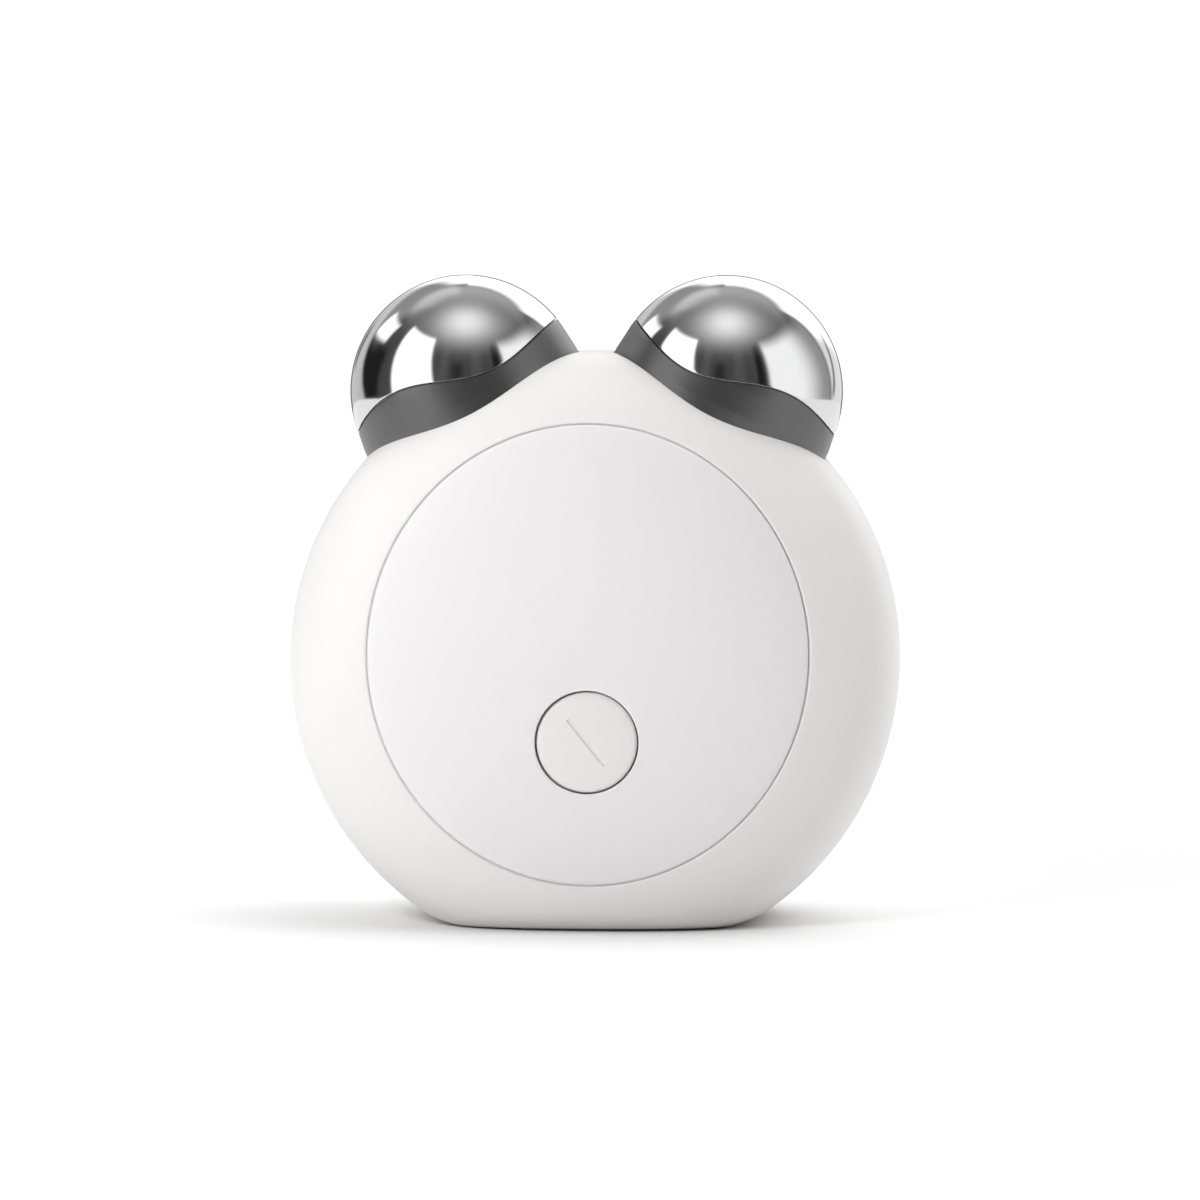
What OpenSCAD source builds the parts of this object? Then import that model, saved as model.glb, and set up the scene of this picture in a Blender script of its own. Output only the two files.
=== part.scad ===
// Facial toning device: a round palm-sized housing with two polished electrode domes.
// Millimetres. The base stands on z = 0, the front faces -Y and the origin is under the middle.

/* [Housing] */
// Diameter of the round outline
body_d = 75; // [71:0.5:80]
// Depth from the front face to the back
body_depth = 41; // [39:0.5:45]
// Height of the outline's centre above the base
centre_h = 32.2; // [31:0.2:34]
// Squareness of the side profile, where 2 would be an ellipse
squareness = 3.6; // [3.4:0.1:4.4]
// Radius that rounds the base into the sides
base_side_r = 13.5; // [10:0.5:15]
// Height that the rounding climbs up the front and back from the base
base_edge_h = 3.5; // [2:0.25:4.5]
// Wall of the two shells
wall = 2; // [1.8:0.1:2.4]
// Length of the tongue behind the seam
tongue_l = 1.4; // [1:0.1:2]
// Thickness of the tongue
tongue_t = 0.95; // [0.8:0.05:1.1]
// Thickness of the seam seal
seal_t = 0.6; // [0.4:0.1:1]
// Open line of the seam
seam_gap = 0.15; // [0.1:0.05:0.3]

/* [Front panel] */
// Width of the oval panel
panel_w = 53.4; // [52:0.2:57]
// Height of the oval panel
panel_h = 55.8; // [54:0.2:58]
// Height of the panel's middle above the outline's centre
panel_rise = 1.8; // [1.2:0.2:2.6]
// Thickness of the panel
panel_t = 1.6; // [1.2:0.1:2]
// Gap round the panel
panel_gap = 0.22; // [0.15:0.01:0.3]
// Thickness of the tape that holds the panel
tape_t = 0.2; // [0.1:0.05:0.3]
// Width of the tape ring
tape_w = 3.6; // [3:0.2:4.4]

/* [Button] */
// Diameter of the button
button_d = 12.2; // [11.6:0.1:13.2]
// Depth of the button below the outline's centre
button_drop = 8.6; // [8:0.2:9.4]
// Travel of the button
button_travel = 0.5; // [0.4:0.05:0.6]
// Gap round the button in the panel
button_gap = 0.25; // [0.15:0.05:0.35]
// Length of the groove in the button's face
groove_l = 7.2; // [5:0.2:8.4]
// Width of the groove
groove_w = 0.55; // [0.4:0.05:0.8]
// Lean of the groove from upright
groove_lean = 39; // [20:1:50]

/* [Heads] */
// Diameter of an electrode dome
dome_d = 28.6; // [27:0.2:28.8]
// Angle of each head from upright
head_angle = 26; // [26:0.5:28]
// Depth of the dome's centre below the housing's outline
dome_sink = 0.8; // [0.4:0.1:1.4]
// Wall of the dome
dome_t = 2; // [1.6:0.1:2.4]
// Wall of the collar
collar_t = 1.3; // [1.1:0.05:1.5]
// Depth of the collar's foot below the dome's centre
collar_depth = 5; // [4.8:0.1:5.4]
// Height of the waved edge's middle above the dome's centre
wave_mid = 2.3; // [2:0.1:3]
// Rise and fall of the waved edge
wave_amp = 1.35; // [0.8:0.05:1.5]
// Length of one wave
wave_len = 24.6; // [23:0.2:28]
// Distance of the wave's middle from the head's axis, outwards
wave_shift = 0.9; // [0:0.1:1.4]
// Thickness of the seal round each collar
collar_seal_d = 1.1; // [0.9:0.05:1.2]

/* [Inside] */
// Width of the circuit board
board_w = 26.4; // [24.8:0.2:26.8]
// Height of the circuit board
board_h = 33; // [32:0.5:34]
// Thickness of the circuit board
board_t = 1.2; // [0.8:0.1:1.6]
// Width of the battery
battery_w = 18.6; // [16:0.2:18.8]
// Height of the battery
battery_h = 26; // [22:0.5:27]
// Thickness of the battery
battery_t = 6; // [4.5:0.1:6.4]
// Diameter of the vibration motor
motor_d = 7; // [6:0.1:7.4]
// Length of the vibration motor
motor_l = 11; // [10:0.2:12]
// Diameter of the charging jack's bore
jack_bore_d = 2.5; // [2.4:0.1:3]
// Depth of the charging jack's bore
jack_bore_l = 8; // [6:0.5:9]
// Depth of the charging jack below the outline's centre
jack_drop = 20; // [19:0.2:21]

/* [Hidden] */
$fn = 64;

// Housing
body_r = body_d / 2;
half_depth = body_depth / 2;
crown_steps = 16;
far = 60;
over = 1;
corner_lap = 0.05;
arc_steps = 12;
fit = 0.05;
edge_lean = 6;

// Panel and the stack behind it
recess_t = panel_t + tape_t;
front_stack = recess_t + wall;
oval_steps = 48;
panel_z = centre_h + panel_rise;

// Button, counted from the crown of the front face
button_r = button_d / 2;
button_z = centre_h - button_drop;
button_inset = 0.1;
button_crown = 0.25;
button_edge = 0.5;
button_face_y = -half_depth + button_inset;
button_pad_t = 0.5;
flange_t = 0.9;
flange_lip = 1.2;
flange_r = button_r + flange_lip;
flange_y = -half_depth + front_stack + button_pad_t;
stem_r = 1.6;
stem_l = 0.5;
groove_depth = 0.3;
guide_gap = 0.08;
guide_t = 1;
guide_room = 2;
button_seal_w = 0.7;
button_seal_t = 0.6;
button_seal_in = 0.7;
button_seal_y = -half_depth + recess_t + button_seal_in;
button_edge_steps = 4;
button_crown_steps = 6;

// Switch and board
plunger_d = 3.2;
plunger_out = button_travel + 0.2;
plunger_in = 0.9;
plunger_spare = 0.1;
plunger_y = flange_y + flange_t + stem_l;
switch_size = 6;
switch_t = 3.1;
switch_y = plunger_y + plunger_out;
board_y = switch_y + switch_t;
board_back_y = board_y + board_t;
board_round_r = 23.6;
board_rise = 12;
board_top = centre_h + board_rise;
board_bottom = board_top - board_h;
screw_edge = 2;
board_screw_x = board_w / 2 - screw_edge;
screw_drop = 2.5;
screw_rise = 4.4;
board_screw_top = board_top - screw_drop;
board_screw_bottom = board_bottom + screw_rise;
board_screw_r = 0.8;
board_screw_head_r = 1.5;
board_screw_head_t = 1.1;
board_screw_l = 4;
post_r = 2.1;

// What stands on the board, each as width, height and thickness, with its place from the outline's centre
control_chip_size = [6, 6, 1];
control_chip_at = [0, 3];
charging_chip_size = [4, 4, 1];
charging_chip_at = [8, 2];
transformer_size = [6, 5, 3.6];
transformer_at = [-8, 3];
socket_size = [6, 3.6, 3];
socket_at = [0, board_rise - 2.8];
socket_hole_x = 1.2;
socket_hole_in = 1.6;
socket_hole_l = 4;

// Battery
pad_t = 0.8;
pad_margin = 1.5;
battery_y = board_back_y + pad_t;
battery_back_y = battery_y + battery_t;
battery_drop = 2.5;
battery_top = board_top - battery_drop;

// Heads
dome_r = dome_d / 2;
head_reach = body_r - dome_sink;
flare = 0.25;
flare_foot_w = -1.2;
flare_top_w = 1.4;
skirt_r = dome_r + flare;
socket_gap = 0.1;
socket_r = skirt_r + socket_gap;
bore_r = dome_r - collar_t;
spigot_gap = 0.05;
spigot_r = bore_r - spigot_gap;
collar_floor_t = 2;
spigot_w = -collar_depth + collar_floor_t;
spigot_t = 1.5;
wave_gap = 0.12;
wave_steps = 28;
wave_reach = dome_r + over;
outer_fall = 0.9;
fall_power = 6;
dome_boss_r = 2.6;
pilot_l = 6;
pilot_spare = 0.5;
collar_seal_w = -3.2;
dome_arc_steps = 10;

// Frame that carries the heads
seat_t = 2.5;
seat_margin = 1;
seat_r = skirt_r - seat_margin;
seat_w = -collar_depth - seat_t;
socket_room = 1;
arm_t = 3;
arm_in = 6.7;
arm_margin = 0.5;
arm_foot_margin = 0.2;
bridge_depth = 9;
bridge_in = 6.7;
bridge_peak_in = 12;
bridge_edge = 0.75;
dome_screw_r = 1.1;
dome_screw_head_r = 2.2;
dome_screw_head_t = 1.6;
terminal_t = 0.5;
terminal_r = 3.2;
terminal_tail_l = 6.8;
terminal_tail_w = 2.4;
clear_gap = 0.2;

// Shell bosses and screws
boss_r = 3.2;
upper_boss = [20, 5];
lower_boss = [17, -13];
shell_screw_r = 1.1;
shell_head_r = 2.1;
shell_head_t = 1.1;
shell_head_sink = 0.1;
shell_screw_tail = 6;

// Motor, counted from the back
motor_r = motor_d / 2;
motor_in = 10.2;
motor_drop = 6;
motor_y = half_depth - wall - motor_in;
motor_z = centre_h - motor_drop;
motor_x = -1;
boot_t = 1.25;
boot_size = motor_d + 2 * boot_t;
boot_l = 8;
cradle_t = 1.3;
cradle_gap = 0.05;
cradle_reach = 2;
shaft_r = 0.5;
shaft_gap = 0.05;
shaft_in = 7;
shaft_spare = 0.5;
weight_gap = 0.8;
weight_l = 4;
weight_drop = 0.4;
weight_r = motor_r - weight_drop;

// Charging jack, counted from the back
jack_z = centre_h - jack_drop;
jack_wall_t = 1.7;
jack_r = jack_bore_d / 2 + jack_wall_t;
jack_sink = 0.7;
jack_gap = 0.05;
jack_seal_w = 1;
jack_seal_t = 0.9;
jack_flange_w = 1.2;
jack_flange_t = 1;
jack_back_t = 1.2;
jack_pad_t = 0.9;
jack_boss_t = 1;
pin_r = 0.35;
pin_x = 0.8;
pin_out = 1.2;

// Leads
lead_r = 0.45;
lead_side = [0.31, 0.2, 0.11];
lead_sides = 8;
lead_rings = 12;
head_lead_drop = 6;
head_lead_in = 3;
head_lead_rise = 9;
head_lead_end = [6.8, -2];
motor_lead_x = 1.5;
motor_lead_out = 6;
motor_lead_bend = 9;
motor_lead_margin = 1.2;
motor_lead_drop = 2;
battery_lead_rise = 8;
battery_lead_bend = 9;
battery_lead_sink = 2.6;
charging_lead_bend = 6;
charging_lead_spread = 1;
charging_lead_rise = 2;

// Looks
white = [0.95, 0.94, 0.93];
soft_white = [0.91, 0.9, 0.9];
steel = [0.78, 0.79, 0.8];
graphite = [0.3, 0.3, 0.31];

// ---------- Forms of the housing ----------

// Half depth of a crown of radius a and half depth b, at distance r from its axis
function crown_y(r, a, b) = b * pow(1 - pow(r / a, squareness), 1 / squareness);

// Depth of the middle of the rear wall, and of the wall behind the panel, at distance r from the axis
function rear_mid_y(r) = crown_y(r, body_r - wall / 2, half_depth - wall / 2);
function front_mid_y(r) = crown_y(r, body_r - wall, half_depth - recess_t - wall / 2);

// Half outline from the plane y = start to the middle of the face
function half_outline(a, b, start) = concat(
    [[0, start], [a, start]],
    [for (i = [1:crown_steps]) let (t = 90 * i / crown_steps)
        [a * pow(cos(t), 2 / squareness), b * pow(sin(t), 2 / squareness)]]
);

module half_disc(side, a, b, start) {
    translate([0, 0, centre_h]) rotate([-90 * side, 0, 0])
        rotate_extrude() polygon(half_outline(a, b, start));
}

// A round bar along Y
module bar_y(r, y0, y1, x = 0, z = 0) {
    translate([x, y1, z]) rotate([90, 0, 0]) cylinder(r = r, h = y1 - y0);
}

// A block along Y, centred on x and z
module block_y(w, h, y0, y1, x = 0, z = 0) {
    translate([x - w / 2, y0, z - h / 2]) cube([w, y1 - y0, h]);
}

// What the flat base and its rounded ends take off, for a surface sunk by inset
function corner_centre_x() =
    sqrt(pow(body_r - base_side_r + corner_lap, 2) - pow(centre_h - base_side_r, 2));
function corner_arc(inset) = let (
    x = corner_centre_x(),
    r = base_side_r - inset,
    last = -atan2(centre_h - base_side_r, x)
) [for (i = [0:arc_steps]) let (t = -90 + (last + 90) * i / arc_steps)
    [x + r * cos(t), base_side_r + r * sin(t)]];

module base_waste(inset) {
    right_arc = corner_arc(inset);
    count = len(right_arc);
    top = right_arc[count - 1][1];
    left_arc = [for (i = [0:count - 1]) [-right_arc[count - 1 - i][0], right_arc[count - 1 - i][1]]];
    rotate([90, 0, 0]) translate([0, 0, -far]) linear_extrude(2 * far)
        polygon(concat([[far, top], [far, -far], [-far, -far], [-far, top]], left_arc, right_arc));
}

// What the rounding between the base and the front or back takes off
module edge_waste(side) {
    r = centre_h - base_edge_h;
    y = crown_y(r, body_r, half_depth);
    nr = pow(r, squareness - 1) / pow(body_r, squareness);
    ny = pow(y, squareness - 1) / pow(half_depth, squareness);
    lean = atan2(nr, ny) + edge_lean;
    round_r = base_edge_h / (1 - sin(lean));
    y_flat = y - round_r * cos(lean) + corner_lap;
    arc = [for (i = [0:arc_steps]) let (t = -90 + (90 - lean) * i / arc_steps)
        [y_flat + round_r * cos(t), round_r + round_r * sin(t)]];
    rotate([90, 0, 90]) translate([0, 0, -far]) linear_extrude(2 * far)
        polygon([for (p = concat([[y_flat, -over]], arc, [[far, base_edge_h], [far, -over]]))
            [side * p[0], p[1]]]);
}

// Cuts its children at the base, for a surface sunk by inset
module based(inset) {
    difference() {
        children();
        base_waste(inset);
    }
}

// A ring that follows the outline between two depths of the wall
module outline_ring(outer, inner, y0, y1) {
    difference() {
        based(outer) bar_y(body_r - outer, y0, y1, 0, centre_h);
        based(inner) bar_y(body_r - inner, y0 - over, y1 + over, 0, centre_h);
    }
}

// The oval of the panel, grown by an amount, as a bar along Y
module oval_bar(grow, y0, y1) {
    points = [for (i = [0:oval_steps - 1]) let (t = 360 * i / oval_steps)
        [(panel_w / 2 + grow) * cos(t), (panel_h / 2 + grow) * sin(t)]];
    translate([0, y1, panel_z]) rotate([90, 0, 0]) linear_extrude(y1 - y0) polygon(points);
}

// The oval between the front crown sunk by one depth and by another
module oval_layer(grow, outer, inner) {
    intersection() {
        oval_bar(grow, -far, -half_depth / 2);
        difference() {
            half_disc(-1, body_r, half_depth - outer, 0);
            half_disc(-1, body_r, half_depth - inner, -over);
        }
    }
}

// ---------- Heads ----------

// Puts a right-hand head, made round Z with its dome's centre at 0, in its place
module on_head() {
    translate([0, 0, centre_h]) rotate([0, head_angle, 0]) translate([0, 0, head_reach]) children();
}

module socket_cuts() {
    for (side = [0, 1]) mirror([side, 0, 0]) on_head()
        translate([0, 0, seat_w - socket_room]) cylinder(r = socket_r, h = far);
}

// Height of the waved edge at distance x from the head's axis, outwards positive
function wave(x) = wave_mid + wave_amp * sin(360 * (x - wave_shift) / wave_len)
    - outer_fall * pow(max(0, x) / dome_r, fall_power);

// Everything above the waved edge, raised by an amount
module above_wave(raise) {
    edge = [for (i = [0:wave_steps]) let (x = wave_reach * (2 * i / wave_steps - 1))
        [x, wave(max(-dome_r, min(dome_r, x))) + raise]];
    rotate([90, 0, 0]) translate([0, 0, -far / 2]) linear_extrude(far)
        polygon(concat(edge, [[wave_reach, far], [-wave_reach, far]]));
}

// Outline of the hollow inside a dome: straight through the spigot, then round
function dome_hollow() = let (
    r = dome_r - dome_t,
    neck = spigot_r - spigot_t,
    start = acos(neck / r)
) concat([[0, spigot_w - over], [neck, spigot_w - over]],
    [for (i = [0:dome_arc_steps]) let (t = start + (90 - start) * i / dome_arc_steps)
        [i == dome_arc_steps ? 0 : r * cos(t), r * sin(t)]]);

module dome() {
    boss_top = dome_r - dome_t / 2;
    difference() {
        union() {
            difference() {
                union() {
                    intersection() {
                        sphere(r = dome_r);
                        above_wave(wave_gap / 2);
                    }
                    translate([0, 0, spigot_w]) cylinder(r = spigot_r, h = wave_mid - spigot_w + over);
                }
                rotate_extrude() polygon(dome_hollow());
            }
            translate([0, 0, -collar_depth]) cylinder(r = dome_boss_r, h = collar_depth + boss_top);
        }
        translate([0, 0, -collar_depth - over]) cylinder(r = dome_screw_r, h = pilot_l + over);
    }
}

// Outline of the collar's wall, from its foot by a short cone to the dome's round, past the waved edge
function collar_outline() = let (top = wave_mid + wave_amp + over, rise = top - flare_top_w) concat(
    [[0, -collar_depth], [skirt_r, -collar_depth], [skirt_r, flare_foot_w]],
    [for (i = [0:dome_arc_steps]) let (w = flare_top_w + rise * i / dome_arc_steps)
        [sqrt(dome_r * dome_r - w * w), w]],
    [[0, top]]
);

module collar() {
    difference() {
        rotate_extrude() polygon(collar_outline());
        translate([0, 0, spigot_w]) cylinder(r = bore_r, h = far);
        translate([0, 0, -far / 2]) cylinder(r = dome_boss_r + spigot_gap, h = far);
        above_wave(-wave_gap / 2);
        translate([0, 0, collar_seal_w - collar_seal_d / 2 - fit]) difference() {
            cylinder(r = skirt_r + over, h = collar_seal_d + 2 * fit);
            translate([0, 0, -over]) cylinder(r = socket_r - collar_seal_d, h = far);
        }
    }
}

module collar_seal() {
    translate([0, 0, collar_seal_w]) rotate_extrude()
        translate([socket_r - collar_seal_d / 2, 0]) circle(d = collar_seal_d);
}

module dome_screw() {
    translate([0, 0, seat_w - terminal_t]) {
        cylinder(r = dome_screw_r, h = terminal_t + seat_t + pilot_l - pilot_spare);
        translate([0, 0, -dome_screw_head_t]) cylinder(r = dome_screw_head_r, h = dome_screw_head_t);
    }
}

module ring_terminal() {
    translate([0, 0, seat_w - terminal_t]) difference() {
        union() {
            cylinder(r = terminal_r, h = terminal_t);
            translate([-terminal_tail_w / 2, -terminal_tail_l, 0])
                cube([terminal_tail_w, terminal_tail_l, terminal_t]);
        }
        translate([0, 0, -over]) cylinder(r = dome_screw_r + fit, h = terminal_t + 2 * over);
    }
}

// ---------- Shells ----------

// One bar at each of the four screws, between the depths given for the upper and for the lower pair
module at_bosses(r, upper, lower) {
    for (side = [-1, 1]) {
        bar_y(r, upper[0], upper[1], side * upper_boss[0], centre_h + upper_boss[1]);
        bar_y(r, lower[0], lower[1], side * lower_boss[0], centre_h + lower_boss[1]);
    }
}

module at_board_screws(r, y0, y1) {
    for (side = [-1, 1], z = [board_screw_top, board_screw_bottom])
        bar_y(r, y0, y1, side * board_screw_x, z);
}

// Front of a screw's head, which lies in the wall behind the panel at a boss
function head_y(boss) = -front_mid_y(norm(boss)) + wall / 2 - shell_head_t - shell_head_sink;

module front_shell() color(white) difference() {
    union() {
        difference() {
            based(0) half_disc(-1, body_r, half_depth, 0);
            edge_waste(-1);
            based(wall) half_disc(-1, body_r - wall, half_depth - front_stack, -over);
        }
        outline_ring(wall - tongue_t, wall, -tongue_l, tongue_l);
        at_bosses(boss_r, [-front_mid_y(norm(upper_boss)), -arm_t / 2],
            [-front_mid_y(norm(lower_boss)), 0]);
        at_board_screws(post_r, -front_mid_y(board_screw_x), board_y);
        bar_y(flange_r + guide_t, -front_mid_y(button_drop), flange_y, 0, button_z);
    }
    oval_layer(panel_gap, -over, recess_t);
    socket_cuts();
    bar_y(button_r + guide_gap, -far, 0, 0, button_z);
    bar_y(flange_r + guide_room, flange_y, board_y, 0, button_z);
    at_bosses(shell_screw_r + clear_gap, [-far, over], [-far, over]);
    at_bosses(shell_head_r + clear_gap, [-far, head_y(upper_boss) + shell_head_t],
        [-far, head_y(lower_boss) + shell_head_t]);
    at_board_screws(board_screw_r, board_y - board_screw_l, board_y + over);
}

module rear_shell() color(white) difference() {
    union() {
        difference() {
            based(0) half_disc(1, body_r, half_depth, seam_gap);
            edge_waste(1);
            based(wall) half_disc(1, body_r - wall, half_depth - wall, -over);
            based(wall - tongue_t - fit) bar_y(body_r - wall + tongue_t + fit, -over, tongue_l + seal_t,
                0, centre_h);
        }
        at_bosses(boss_r, [arm_t / 2, rear_mid_y(norm(upper_boss))], [0, rear_mid_y(norm(lower_boss))]);
        for (side = [-1, 1])
            block_y(boot_l, cradle_t, motor_y - cradle_reach, rear_mid_y(boot_size), motor_x,
                motor_z + side * (boot_size / 2 + cradle_gap + cradle_t / 2));
        block_y(cradle_t, boot_size + cradle_t, motor_y + boot_size / 2, rear_mid_y(boot_size), motor_x,
            motor_z);
        bar_y(jack_r + jack_flange_w + jack_boss_t, jack_flange_y, rear_mid_y(jack_drop), 0, jack_z);
    }
    socket_cuts();
    bar_y(jack_r + jack_gap, 0, far, 0, jack_z);
    bar_y(jack_r + jack_seal_w, jack_seal_y, far, 0, jack_z);
    at_bosses(shell_screw_r, [-over, shell_screw_tail + over], [-over, shell_screw_tail + over]);
}

module seam_seal() color("dimgray") difference() {
    outline_ring(wall - tongue_t, wall, tongue_l, tongue_l + seal_t);
    socket_cuts();
}

module shell_screws() color(steel) {
    at_bosses(shell_head_r, [head_y(upper_boss), head_y(upper_boss) + shell_head_t],
        [head_y(lower_boss), head_y(lower_boss) + shell_head_t]);
    at_bosses(shell_screw_r, [head_y(upper_boss) + shell_head_t / 2, shell_screw_tail],
        [head_y(lower_boss) + shell_head_t / 2, shell_screw_tail]);
}

// ---------- Front panel and button ----------

module front_panel() color(soft_white) difference() {
    oval_layer(0, 0, panel_t);
    bar_y(button_r + button_gap, -far, 0, 0, button_z);
}

module panel_tape() color("gainsboro") difference() {
    oval_layer(0, panel_t, recess_t);
    oval_bar(-tape_w, -far, 0);
}

// Outline of the button from its axis: stem, flange, guided rim, rounded edge and crowned face
function button_outline() = let (
    face = button_face_y,
    edge = face + button_crown
) concat([
    [0, flange_y + flange_t + stem_l], [stem_r, flange_y + flange_t + stem_l],
    [stem_r, flange_y + flange_t], [flange_r, flange_y + flange_t], [flange_r, flange_y],
    [button_r, flange_y]],
    [for (i = [0:button_edge_steps]) let (t = 90 * i / button_edge_steps)
        [button_r - button_edge * (1 - cos(t)), edge + button_edge * (1 - sin(t))]],
    [for (i = [1:button_crown_steps]) let (r = (button_r - button_edge) * (1 - i / button_crown_steps))
        [r, face + button_crown * pow(r / (button_r - button_edge), 2)]]
);

module power_button() color(white) translate([0, 0, button_z]) difference() {
    rotate([-90, 0, 0]) rotate_extrude() polygon(button_outline());
    seal_groove();
    translate([0, button_face_y, 0]) rotate([90, -groove_lean, 0])
        cube([groove_w, groove_l, 2 * groove_depth], center = true);
}

// The groove round the button that its seal sits in
module seal_groove() {
    difference() {
        bar_y(button_r + over, button_seal_y, button_seal_y + button_seal_t);
        bar_y(button_r - button_seal_w, button_seal_y - over, button_seal_y + button_seal_t + over);
    }
}

module button_seal() color("gray") translate([0, 0, button_z]) difference() {
    bar_y(button_r + guide_gap / 2, button_seal_y + fit, button_seal_y + button_seal_t - fit);
    bar_y(button_r - button_seal_w, button_seal_y - over, button_seal_y + button_seal_t + over);
}

module switch_plunger() color("black")
    bar_y(plunger_d / 2, plunger_y, switch_y + plunger_in, 0, button_z);

module switch_body() color(graphite) difference() {
    block_y(switch_size, switch_size, switch_y, board_y, 0, button_z);
    bar_y(plunger_d / 2 + fit, switch_y - over,
        switch_y + plunger_in + button_travel + plunger_spare, 0, button_z);
}

// ---------- Heads as nodes ----------

module right_dome() color(steel) on_head() dome();
module left_dome() color(steel) mirror([1, 0, 0]) on_head() dome();
module right_collar() color(graphite) on_head() collar();
module left_collar() color(graphite) mirror([1, 0, 0]) on_head() collar();
module right_collar_seal() color("black") on_head() collar_seal();
module left_collar_seal() color("black") mirror([1, 0, 0]) on_head() collar_seal();
module dome_screws() color(steel) for (side = [0, 1]) mirror([side, 0, 0]) on_head() dome_screw();
module ring_terminals() color("gold") for (side = [0, 1]) mirror([side, 0, 0]) on_head()
    ring_terminal();

module head_frame() color("silver") difference() {
    union() {
        for (side = [0, 1]) mirror([side, 0, 0]) {
            on_head() translate([0, 0, seat_w]) cylinder(r = seat_r, h = seat_t);
            rotate([90, 0, 0]) translate([0, 0, -arm_t / 2]) linear_extrude(arm_t)
                polygon(frame_arm());
            bar_y(boss_r, -arm_t / 2, arm_t / 2, upper_boss[0], centre_h + upper_boss[1]);
        }
        rotate([90, 0, 0]) translate([0, 0, -bridge_depth / 2]) linear_extrude(bridge_depth)
            polygon(frame_bridge());
    }
    for (side = [0, 1]) mirror([side, 0, 0]) {
        on_head() translate([0, 0, seat_w - over]) cylinder(r = dome_screw_r + clear_gap, h = far);
        bar_y(shell_screw_r + clear_gap, -far, far, upper_boss[0], centre_h + upper_boss[1]);
    }
}

// A point of a right-hand head at distance x outwards from its axis and height w above its dome's centre
function head_point(x, w) = [
    x * cos(head_angle) + (head_reach + w) * sin(head_angle),
    centre_h - x * sin(head_angle) + (head_reach + w) * cos(head_angle)
];

function frame_arm() = let (mid = seat_w + seat_t / 2, z = centre_h + upper_boss[1]) [
    head_point(arm_in, mid), head_point(seat_r - arm_margin, mid),
    [upper_boss[0] + boss_r - arm_foot_margin, z], [upper_boss[0] - boss_r + arm_foot_margin, z]
];

function frame_bridge() = let (
    top = head_point(-bridge_in, seat_w + seat_t - bridge_edge),
    low = head_point(-bridge_in, seat_w + bridge_edge),
    peak = head_point(-bridge_peak_in, seat_w + seat_t / 2)
) [[-low[0], low[1]], low, top, [0, peak[1]], [-top[0], top[1]]];

// ---------- Board, battery and motor ----------

module main_board() color("darkgreen") difference() {
    intersection() {
        block_y(board_w, board_h, board_y, board_back_y, 0, board_top - board_h / 2);
        bar_y(board_round_r, board_y - over, board_back_y + over, 0, centre_h);
    }
    at_board_screws(board_screw_r + clear_gap, -far, far);
}

module board_screws() color(steel) {
    at_board_screws(board_screw_head_r, board_back_y, board_back_y + board_screw_head_t);
    at_board_screws(board_screw_r, board_y - board_screw_l, board_back_y + board_screw_head_t / 2);
}

// A block that stands on the front of the board, by its size and its place from the outline's centre
module on_board(size, at) {
    block_y(size[0], size[1], board_y - size[2], board_y, at[0], centre_h + at[1]);
}

module control_chip() color("black") on_board(control_chip_size, control_chip_at);
module charging_chip() color("black") on_board(charging_chip_size, charging_chip_at);
module output_transformer() color("darkorange") on_board(transformer_size, transformer_at);

module battery_socket() color("ivory") difference() {
    on_board(socket_size, socket_at);
    for (side = [-1, 1])
        translate([side * socket_hole_x, board_y - socket_hole_in, centre_h + socket_at[1]])
            cylinder(r = lead_r + fit, h = socket_hole_l);
}

module battery() color("lightsteelblue")
    block_y(battery_w, battery_h, battery_y, battery_back_y, 0, battery_top - battery_h / 2);

module battery_pad() color("dimgray")
    block_y(battery_w - 2 * pad_margin, battery_h - 2 * pad_margin, board_back_y, battery_y, 0,
        battery_top - battery_h / 2);

// A round bar along X
module bar_x(r, x0, x1, y, z) {
    translate([x0, y, z]) rotate([0, 90, 0]) cylinder(r = r, h = x1 - x0);
}

motor_x0 = motor_x - motor_l / 2;
motor_x1 = motor_x + motor_l / 2;

module motor_can() color(steel) difference() {
    bar_x(motor_r, motor_x0, motor_x1, motor_y, motor_z);
    bar_x(shaft_r + shaft_gap, motor_x1 - shaft_in - shaft_spare, motor_x1 + over, motor_y, motor_z);
}

module motor_boot() color("dimgray") difference() {
    translate([motor_x - boot_l / 2, motor_y - boot_size / 2, motor_z - boot_size / 2])
        cube([boot_l, boot_size, boot_size]);
    bar_x(motor_r, motor_x0 - over, motor_x1 + over, motor_y, motor_z);
}

module motor_shaft() color(steel)
    bar_x(shaft_r, motor_x1 - shaft_in, motor_x1 + weight_gap + weight_l + shaft_spare, motor_y,
        motor_z);

module eccentric_weight() color("goldenrod") difference() {
    intersection() {
        bar_x(weight_r, motor_x1 + weight_gap, motor_x1 + weight_gap + weight_l, motor_y, motor_z);
        translate([motor_x1, motor_y - motor_d, motor_z - motor_d])
            cube([motor_l, 2 * motor_d, motor_d + shaft_r * 2]);
    }
    bar_x(shaft_r, motor_x1, motor_x1 + motor_l, motor_y, motor_z);
}

// ---------- Charging jack ----------

jack_face_y = crown_y(jack_drop, body_r, half_depth) - jack_sink;
jack_seal_y = jack_face_y - jack_seal_t;
jack_flange_y = rear_mid_y(jack_drop) - wall / 2 - jack_pad_t;
jack_back_y = jack_face_y - jack_bore_l - jack_back_t;

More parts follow.
